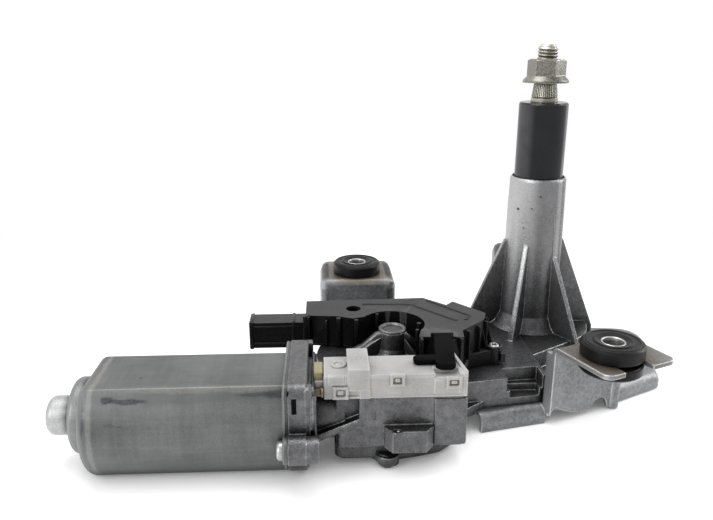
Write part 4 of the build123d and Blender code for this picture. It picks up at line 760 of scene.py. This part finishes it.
# White clip-on cover: blocks, ring boss, window frames and lips
windows = {"wall": 1.0, "front": -85.35, "back": -84.2, "ease": 0.25, "places": (
    (-68.9, -64.1, 30.2, 34.5), (-51.0, -45.9, 29.2, 33.3), (-87.0, -82.0, 26.2, 30.6))}
foot = bench + 26.1
top = bench + 34.1
back = -69.9
bm = bmesh.new()
addBox(bm, (-89.8, -84.4, foot), (-82.0, -70.0, top))
addBox(bm, (-75.4, -84.3, foot), (-54.4, back, top))
addBox(bm, (-54.6, -84.3, foot), (-44.6, back, top - 1.3))
addPrism(bm, [(-54.6, -80.2), (-46.4, -80.2), (-46.4, -70.0), (-54.6, -70.0)], foot, top)
addPrism(bm, [(-46.6, -84.4), (-43.9, -84.4), (-45.9, -70.0), (-46.9, -70.0)], foot, top + 0.1)
addPrism(bm, [(-45.2, -84.5), (-43.9, -84.5), (-46.0, -70.0), (-47.2, -70.0)], foot, top + 0.9)
# raised block, its front face and the slot beside it
addBox(bm, (-82.2, -84.8, bench + 28.8), (-75.2, -68.6, bench + 36.4))
addBox(bm, (-82.2, -84.0, foot), (-75.2, -70.2, bench + 29.2))
addBox(bm, (-78.6, -84.9, foot), (-75.0, -83.2, bench + 29.4))
# steps of the left block
addBox(bm, (-90.0, -82.2, foot), (-88.4, -72.0, bench + 32.4))
addBox(bm, (-88.0, -84.9, bench + 31.0), (-83.2, -83.0, top + 0.25))
# long lip along the front edge and the step under the module's arm
addBox(bm, (-75.2, -84.7, top - 0.9), (-54.4, -84.0, top + 0.2))
addBox(bm, (-54.6, -84.6, top - 2.2), (-45.0, -84.0, top - 1.2))
addBox(bm, (-89.8, -84.6, foot), (-44.2, -84.1, foot + 0.8))
finishPiece(bm, "whiteCover", "cover_white", bevel=0.35, hides=("terminal_cover",))


# A window frame: one ring of four mitred bars
def addFrame(bm, left, right, low, high):
    wall = windows["wall"]
    front = windows["front"]
    back = windows["back"]
    ease = windows["ease"]
    rings = []
    section = ((0, back), (0, front + ease), (ease, front), (wall - ease, front), (wall, front + ease),
               (wall, back))
    for inset, y in section:
        corners = ((left + inset, low + inset), (right - inset, low + inset),
                   (right - inset, high - inset), (left + inset, high - inset))
        rings.append([bm.verts.new((x * mm, y * mm, (bench + z) * mm)) for x, z in corners])
    for first, second in zip(rings, [*rings[1:], rings[0]]):
        for index in range(4):
            after = (index + 1) % 4
            bm.faces.new((first[index], first[after], second[after], second[index]))


bm = bmesh.new()
for left, right, low, high in windows["places"]:
    addFrame(bm, left, right, low, high)
    addBox(bm, (left + 1.7, -84.95, bench + low + 1.7), (right - 1.7, -84.0, bench + high - 1.4))
finishPiece(bm, "coverWindowFrames", "cover_white")
turnedPiece("coverRingBoss", "cover_white", [
    (2.7, -0.3), (2.7, 0.35), (2.35, 0.6), (1.75, 0.6), (1.5, 0.35), (1.5, 0.12), (0.9, 0.12), (0.7, 0.4),
    (0.2, 0.45)], (-84.9, -76.2, top))
print("stage: white cover")


# Tan plug: blocks, a white piece between them and a brass contact
plug = {"left": -92.9, "right": -90.1, "foot": bench + 26.3, "low": bench + 28.9, "high": bench + 31.5}
boxPiece("leadPlugBlocks", "plug_tan",
         ((plug["left"], -83.0, plug["foot"]), (plug["right"], -76.4, plug["low"])),
         ((plug["left"], -81.6, plug["high"]), (plug["right"], -74.2, bench + 34.1)),
         ((plug["left"], -76.0, plug["foot"]), (plug["right"], -73.3, bench + 34.0)),
         ((plug["left"], -81.0, plug["low"]), (-91.6, -75.8, plug["high"])),
         bevel=0.25, hides=("lead_plug",))
boxPiece("leadHolder", "cover_white", ((-92.8, -82.2, plug["low"]), (-89.9, -76.0, plug["high"])), bevel=0.5)
boxPiece("leadContact", "sintered_bronze", ((-90.9, -83.9, bench + 27.3), (-89.9, -83.0, bench + 29.6)),
         ((-90.7, -84.3, bench + 26.6), (-90.1, -83.2, bench + 27.7)), bevel=0.15)
print("stage: lead plug")


# Black module: groove lips on its lid, ribs and legs on its walls, arm, fins, lug collar, socket rims
module = {
    "lipR": 0.32, "lipGap": 0.75,
    "ribs": ((-95.4, -35.9, 1.0, 1.4, 23.0, 34.7), (-88.6, -36.5, 0.8, 1.2, 23.0, 33.4),
             (-84.0, -37.4, 1.6, 1.8, 23.0, 34.7), (-77.4, -39.6, 1.4, 1.2, 23.0, 34.7),
             (-69.2, -34.0, 1.2, 1.0, 23.0, 34.7), (-54.4, -44.2, 1.4, 1.2, 24.0, 34.9),
             (-55.8, -50.4, 1.2, 1.0, 25.0, 34.9)),
    "wingRibs": ((-55.2, 1.0, 25.0, 34.9), (-46.6, 1.2, 24.0, 35.2), (-41.2, 1.0, 24.0, 34.9)),
    "wingY": (-59.6, -57.0),
    "armFloor": bench + 34.2, "armTop": bench + 36.4, "fingerTop": bench + 36.1,
    "fins": ((-37.6, -50.6), (-32.6, -45.2), (-29.2, -41.6), (-27.8, -36.6)),
}
lid = bench + 35.0
tray = bench + 22.8
lips = []
for offset in (0.0, module["lipGap"]):
    lips.append([(-74.2, -24.2 - offset, lid), (-56.5, -25.2 - offset, lid), (-55.0 + offset, -26.2, lid),
                 (-40.4 + offset, -42.9, lid)])
    lips.append([(-48.4 + offset, -21.6, lid), (-34.6 + offset, -38.4, lid), (-37.0 + offset, -42.4, lid)])
lips = growPipes("moduleGrooveLips", lips, module["lipR"], looks["module_black"])
finishPiece(lips, "moduleGrooveLips", "module_black")

# ribs: place, thickness and depth, foot and top above the bench
bm = bmesh.new()
for x, y, thick, depth, low, high in module["ribs"]:
    addBox(bm, (x - thick / 2, y - depth / 2, bench + low), (x + thick / 2, y + depth / 2, bench + high))
addBox(bm, (-97.4, -37.2, bench + 23.0), (-95.9, -34.6, bench + 35.3))
# front of the wing: deep ribs and a shelf
near, far = module["wingY"]
for x, thick, low, high in module["wingRibs"]:
    addBox(bm, (x - thick / 2, near, bench + low), (x + thick / 2, far, bench + high))
addBox(bm, (-56.0, near + 1.0, bench + 24.0), (-40.4, far - 0.4, bench + 25.6))
finishPiece(bm, "moduleRibs", "module_black", bevel=0.18)

bm = bmesh.new()
arm = [(-51.0, -57.2), (-53.9, -80.4), (-52.6, -82.2), (-48.6, -82.4), (-47.3, -80.8), (-44.8, -57.2)]
addPrism(bm, arm, module["armFloor"], module["armTop"])
finger = [(-52.4, -73.8), (-52.4, -78.2), (-59.4, -78.2), (-60.5, -77.2), (-60.5, -74.8), (-59.4, -73.8)]
addPrism(bm, finger, module["armFloor"], module["fingerTop"])
finishPiece(bm, "moduleArm", "module_black", look="pure_black", bevel=0.5, segments=3)

bm = bmesh.new()
for number, (x, y) in enumerate(module["fins"]):
    outline = [(x - 0.3, y), (x + 0.9, y - 1.1), (x + 1.2, y - 0.8), (x, y + 0.4)]
    addPrism(bm, outline, tray, lid - 0.8 - 0.6 * (number % 2))
# slanting braces from the lid's corner down to the lug
high = lid - 0.6
low = tray + 0.6
for shift in (0.0, 2.6):
    x = -31.2 + shift
    y = -42.0 + shift
    brace = [(x, y, high), (x + 0.8, y - 0.4, high), (x + 3.2, y - 2.0, low), (x + 2.4, y - 1.6, low)]
    back = [(across - 0.6, along + 1.6, rise) for across, along, rise in brace]
    addBlock(bm, *([scaled(corner, mm) for corner in outline] for outline in (brace, back)))
finishPiece(bm, "moduleFins", "module_black", bevel=0.15)

bm = bmesh.new()
profile = [(3.15, -5.4), (3.15, 1.1), (2.9, 1.35), (2.55, 1.35), (2.4, 1.1), (2.4, -0.05), (2.0, -5.4)]
addLathe(bm, profile, (*moduleScrews["places"][0][0], moduleScrews["seat"]), segments=40, loop=True)
addBox(bm, (-23.3, -46.0, bench + 19.0), (-21.6, -43.4, bench + 22.4))
finishPiece(bm, "moduleLugCollar", "module_black")

socket = {"y": -28.7, "z": bench + 26.2, "halfY": 4.6, "halfZ": 5.2, "proud": 0.35,
          "rims": ((-117.4, 1.4), (-101.2, 1.0))}
middleY = socket["y"]
middleZ = socket["z"]
halfY = socket["halfY"]
halfZ = socket["halfZ"]
outY = halfY + socket["proud"]
outZ = halfZ + socket["proud"]
bars = (((-outY, -outZ), (outY, -halfZ)), ((-outY, halfZ), (outY, outZ)),
        ((-outY, -halfZ), (-halfY, halfZ)), ((halfY, -halfZ), (outY, halfZ)))
bm = bmesh.new()
for x, thick in socket["rims"]:
    for low, high in bars:
        addBox(bm, (x - thick / 2, middleY + low[0], middleZ + low[1]),
               (x + thick / 2, middleY + high[0], middleZ + high[1]))
for height in (-3.4, 3.4):
    addBox(bm, (-116.4, middleY - outY, middleZ + height), (-98.4, middleY - 4.5, middleZ + height + 0.6))
finishPiece(bm, "socketRims", "module_black", bevel=0.12)
print("stage: module details")


# Motor flange: beads of can and casting, the raised bars, and pure black boxes as painted shade in the notch
def flangePath(margin, x):
    front = flange["halfY"] + margin
    top = flange["top"] + margin
    bottom = flange["bottom"] - margin
    upper = flange["topRadius"]
    lower = flange["bottomRadius"]
    path = []
    for cornerY, cornerZ, radius, start in ((front, top, upper, 0), (-front, top, upper, 90),
                                            (-front, bottom, lower, 180), (front, bottom, lower, 270)):
        middleY = cornerY - radius if cornerY > 0 else cornerY + radius
        middleZ = cornerZ - radius if cornerZ > 0 else cornerZ + radius
        for step in range(7):
            turn = radians(start + 15 * step)
            path.append((x, flange["axisY"] + middleY + radius * cos(turn),
                         flange["axisZ"] + middleZ + radius * sin(turn)))
    return path


for name, margin, x, thick, slotName in (
        ("castingBead", -0.9, -95.7, 0.9, "die_cast"), ("castingStepBead", -3.6, -93.3, 0.7, "die_cast"),
        ("canBead", -0.5, -102.1, 0.5, "can_steel")):
    bead = growPipes(name, [flangePath(margin, x)], thick, looks[slotName], closed=True)
    finishPiece(bead, name, slotName)
bm = bmesh.new()
addBox(bm, (-96.0, -90.6, bench + 18.6), (-93.4, -87.4, bench + 33.4))
addBox(bm, (-96.0, -56.8, bench + 18.6), (-93.4, -53.8, bench + 33.4))
lugCap = [(0.01, 3.9), (2.9, 3.9), (3.7, 3.2), (3.9, 1.0), (3.9, -1.0), (0.01, -1.0)]
for out, rise in flange["lugs"]:
    addLathe(bm, lugCap, (-95.4, flange["axisY"] + out, flange["axisZ"] + rise), (1, 0, 0), 32)
for x, y, thick, low, high in ((-95.2, -90.4, 1.15, 8.5, 33.0), (-93.0, -89.4, 0.9, 10.0, 30.0)):
    capped(bm, addLathe(bm, [(thick, low), (thick, high)], (x, y, bench), segments=24))
finishPiece(bm, "flangeBars", "die_cast", bevel=0.7, segments=3)
# Painted shade: pure black boxes stand for the dark notch and a dark line beside the flange
boxPiece("flangeNotchShade", "die_cast", ((-99.8, -91.95, bench + 25.2), (-98.3, -91.2, bench + 30.4)),
         ((-101.1, -91.6, bench + 20.0), (-100.7, -91.2, bench + 33.0)), look="pure_black", bevel=0.1)
print("stage: flange")


# Casting: screw hole in the pad, corner, front panel, lower plate, foot, wheel boss and tower seam
pad = (-66.8, -88.3, bench + 16.2)
turnedPiece("padHoleRim", "die_cast", [(1.7, -0.4), (1.7, 0.16), (1.45, 0.22), (1.2, 0.1), (1.2, -0.4)], pad,
            segments=32, loop=True)
boxPiece("cornerFill", "die_cast", ((-76.6, -84.3, bench + 18.2), (-73.2, -80.6, bench + 26.3)), bevel=0.2)
# right part of the gear case's front, a little proud of the rest
prismPiece("frontPanel", "die_cast", [(-54.8, -83.6), (-54.3, -84.7), (-43.9, -84.7), (-43.4, -83.6)],
           bench + 8.6, bench + 25.4, bevel=0.45, segments=3)
# lower plate with the rounded foot that stands on the bench
prismPiece("lowerPlate", "die_cast", [
    (-86.2, -70.0), (-86.2, -77.6), (-84.6, -80.4), (-74.8, -80.4), (-73.4, -81.8), (-72.3, -84.4),
    (-69.6, -85.6), (-67.0, -84.6), (-65.4, -82.0), (-58.0, -80.4), (-50.8, -78.2), (-44.0, -72.0),
    (-60.0, -68.0)], bench + 1.3, bench + 5.2, bevel=1.1, segments=3, angle=50)
turnedPiece("castingFoot", "die_cast", [(3.9, 4.9), (3.8, 3.4), (3.3, 1.8), (2.6, 0.7), (1.4, 0.1)],
            (-69.2, -82.4, bench), segments=40, sharp=50)
# Painted shade: a black disc stands for the shade inside the pad's screw hole
turnedPiece("padHole", "rubber_black", [(1.2, -0.3), (1.2, 0.04), (0.7, 0.05)], pad, segments=24)
turnedPiece("padHoleScrew", "screw_zinc", [(0.55, -0.2), (0.55, 0.12), (0.35, 0.2)],
            (-66.3, -88.2, bench + 16.2), segments=16)
axle = (-64.3, -44.2, bench + 33.0)
turnedPiece("wheelBossRim", "die_cast", [
    (5.0, -1.2), (5.0, 0.1), (4.7, 0.32), (4.2, 0.32), (3.9, 0.1), (3.75, -1.2)], axle, loop=True)
turnedPiece("wheelBossPlug", "carbon", [(3.85, -1.4), (3.85, -0.5), (3.5, -0.35), (0.4, -0.3)], axle,
            segments=40)
# flared webs on both sides of the boss, drawn from the front
web = [(-81.0, 23.5), (-81.0, 25.0), (-75.5, 27.6), (-70.4, 32.3), (-59.4, 32.3), (-54.3, 27.2),
       (-54.3, 23.5)]
bm = bmesh.new()
addBlock(bm, *([(x * mm, y * mm, (bench + z) * mm) for x, z in web] for y in (-47.4, -44.4)))
finishPiece(bm, "wheelBossWeb", "die_cast", bevel=0.8, segments=3)
seam = growPipes("towerSeam", [[(4.2, -9.85, -0.9), (5.9, -10.9, -47.0)]], 0.4, dieCast)
finishPiece(seam, "towerSeam", "die_cast")
print("stage: casting details")


# Grommets: a raised ring on each top disc and the rolled end of the steel spacer
grommetTop = bench + 36.5
outerRing = [(9.4, -0.3), (9.3, 0.12), (9.0, 0.22), (8.7, 0.12), (8.6, -0.3)]
lip = [(6.9, -0.3), (6.8, 0.2), (6.4, 0.36), (6.0, 0.2), (4.7, -0.1), (4.1, -0.35), (4.0, -1.0), (6.6, -1.0)]
spacer = [(4.3, -0.3), (4.3, 0.25), (4.1, 0.5), (3.8, 0.5), (3.55, 0.3), (3.45, -0.3)]
for name, place in grommetPlaces.items():
    bm = bmesh.new()
    for profile in (outerRing, lip):
        addLathe(bm, profile, (*place, grommetTop), loop=True)
    finishPiece(bm, "grommetRings_" + name, "rubber_black")
    turnedPiece("spacerRim_" + name, "screw_zinc", spacer, (*place, grommetTop - 0.7), loop=True)
print("stage: grommets")


# Studio: white round about, a floor that keeps the shadow, soft lamps and the photograph's viewpoint
studio = {
    "floorHalf": 3000, "floorColour": (0.7, 0.7, 0.7, 1), "floorGlow": 0.56, "ambient": 0.5,
    "lamps": [
        ("overhead", (-0.15, 0.15, 0.9), (-0.06, -0.03, -0.04), 0.8, 0.5, 5.4),
        ("front left", (-0.8, -0.7, 0.5), (-0.08, -0.03, -0.03), 0.35, 0.6, 4.2),
        ("right rim", (0.75, 0.15, 0.35), (0, 0, -0.03), 0.25, 0.7, 4.0),
    ],
    "camera": (-89.2, -283.0, 53.8), "pitch": 72.5, "yaw": -2.8, "lens": 35.34,
}
white = (1, 1, 1, 1)


def makeFloor():
    half = studio["floorHalf"]
    floor = bpy.data.objects.new("floor", bpy.data.meshes.new("floor"))
    bm = bmesh.new()
    addBox(bm, (-half, -half, bench - 20), (half, half, bench - 0.02))
    bmesh.ops.recalc_face_normals(bm, faces=bm.faces)
    bm.to_mesh(floor.data)
    bm.free()
    bpy.context.collection.objects.link(floor)
    made, shader, place = startMaterial("floor", Roughness=0.8, Specular_IOR_Level=0.2)
    shader.inputs["Base Color"].default_value = studio["floorColour"]
    shader.inputs["Emission Strength"].default_value = studio["floorGlow"]
    # painted contact shadow: right under the motor the floor's own glow is darkened, so that the contact
    # shadow stays
    under = cornerShade(place, 0.022, 0.35, 0.95)
    blend(under * 0.85, (1, 1, 1), (0, 0, 0)).plug(shader.inputs["Emission Color"])
    tree = made.node_tree
    glow = place.node("ShaderNodeEmission", inputs={"Color": white, "Strength": 1.0})
    away = place.node("ShaderNodeVectorMath", output="Value", operation="DISTANCE",
                      inputs={0: place, 1: (-0.06, -0.02, bench * mm)}).smooth(0.17, 0.34)
    surface = Wire(tree, shader.outputs[0])
    place.node("ShaderNodeMixShader", inputs={0: away, 1: surface, 2: glow}).plug(
        tree.nodes["Material Output"].inputs["Surface"])
    floor.data.materials.append(made)


def makeWorld():
    world = bpy.data.worlds.new("world")
    bpy.context.scene.world = world
    world.use_nodes = True
    tree = world.node_tree
    soft = tree.nodes["Background"]
    soft.inputs["Color"].default_value = white
    soft.inputs["Strength"].default_value = studio["ambient"]
    soft = Wire(tree, soft.outputs[0])
    plain = soft.node("ShaderNodeBackground", inputs={"Color": white, "Strength": 1.0})
    rays = tree.nodes.new("ShaderNodeLightPath")
    seen = Wire(tree, rays.outputs["Is Camera Ray"]) + Wire(tree, rays.outputs["Is Glossy Ray"])
    seen = seen + Wire(tree, rays.outputs["Is Transmission Ray"])
    soft.node("ShaderNodeMixShader", inputs={0: seen, 1: soft, 2: plain}).plug(
        tree.nodes["World Output"].inputs["Surface"])


def makeLamps():
    for name, place, aim, width, height, power in studio["lamps"]:
        lamp = bpy.data.lights.new(name, "AREA")
        lamp.shape = "RECTANGLE"
        lamp.size = width
        lamp.size_y = height
        lamp.energy = power
        holder = bpy.data.objects.new(name, lamp)
        holder.location = place
        holder.rotation_euler = (Vector(aim) - Vector(place)).to_track_quat("-Z", "Y").to_euler()
        bpy.context.collection.objects.link(holder)


def makeCamera():
    camera = bpy.data.cameras.new("camera")
    camera.sensor_width = 36
    camera.lens = studio["lens"]
    camera.clip_start = 0.01
    holder = bpy.data.objects.new("camera", camera)
    holder.location = scaled(studio["camera"], mm)
    holder.rotation_euler = (radians(studio["pitch"]), 0, radians(studio["yaw"]))
    bpy.context.collection.objects.link(holder)
    bpy.context.scene.camera = holder


makeFloor()
makeWorld()
makeLamps()
makeCamera()
bpy.context.scene.view_settings.view_transform = "Standard"
print("stage: studio")
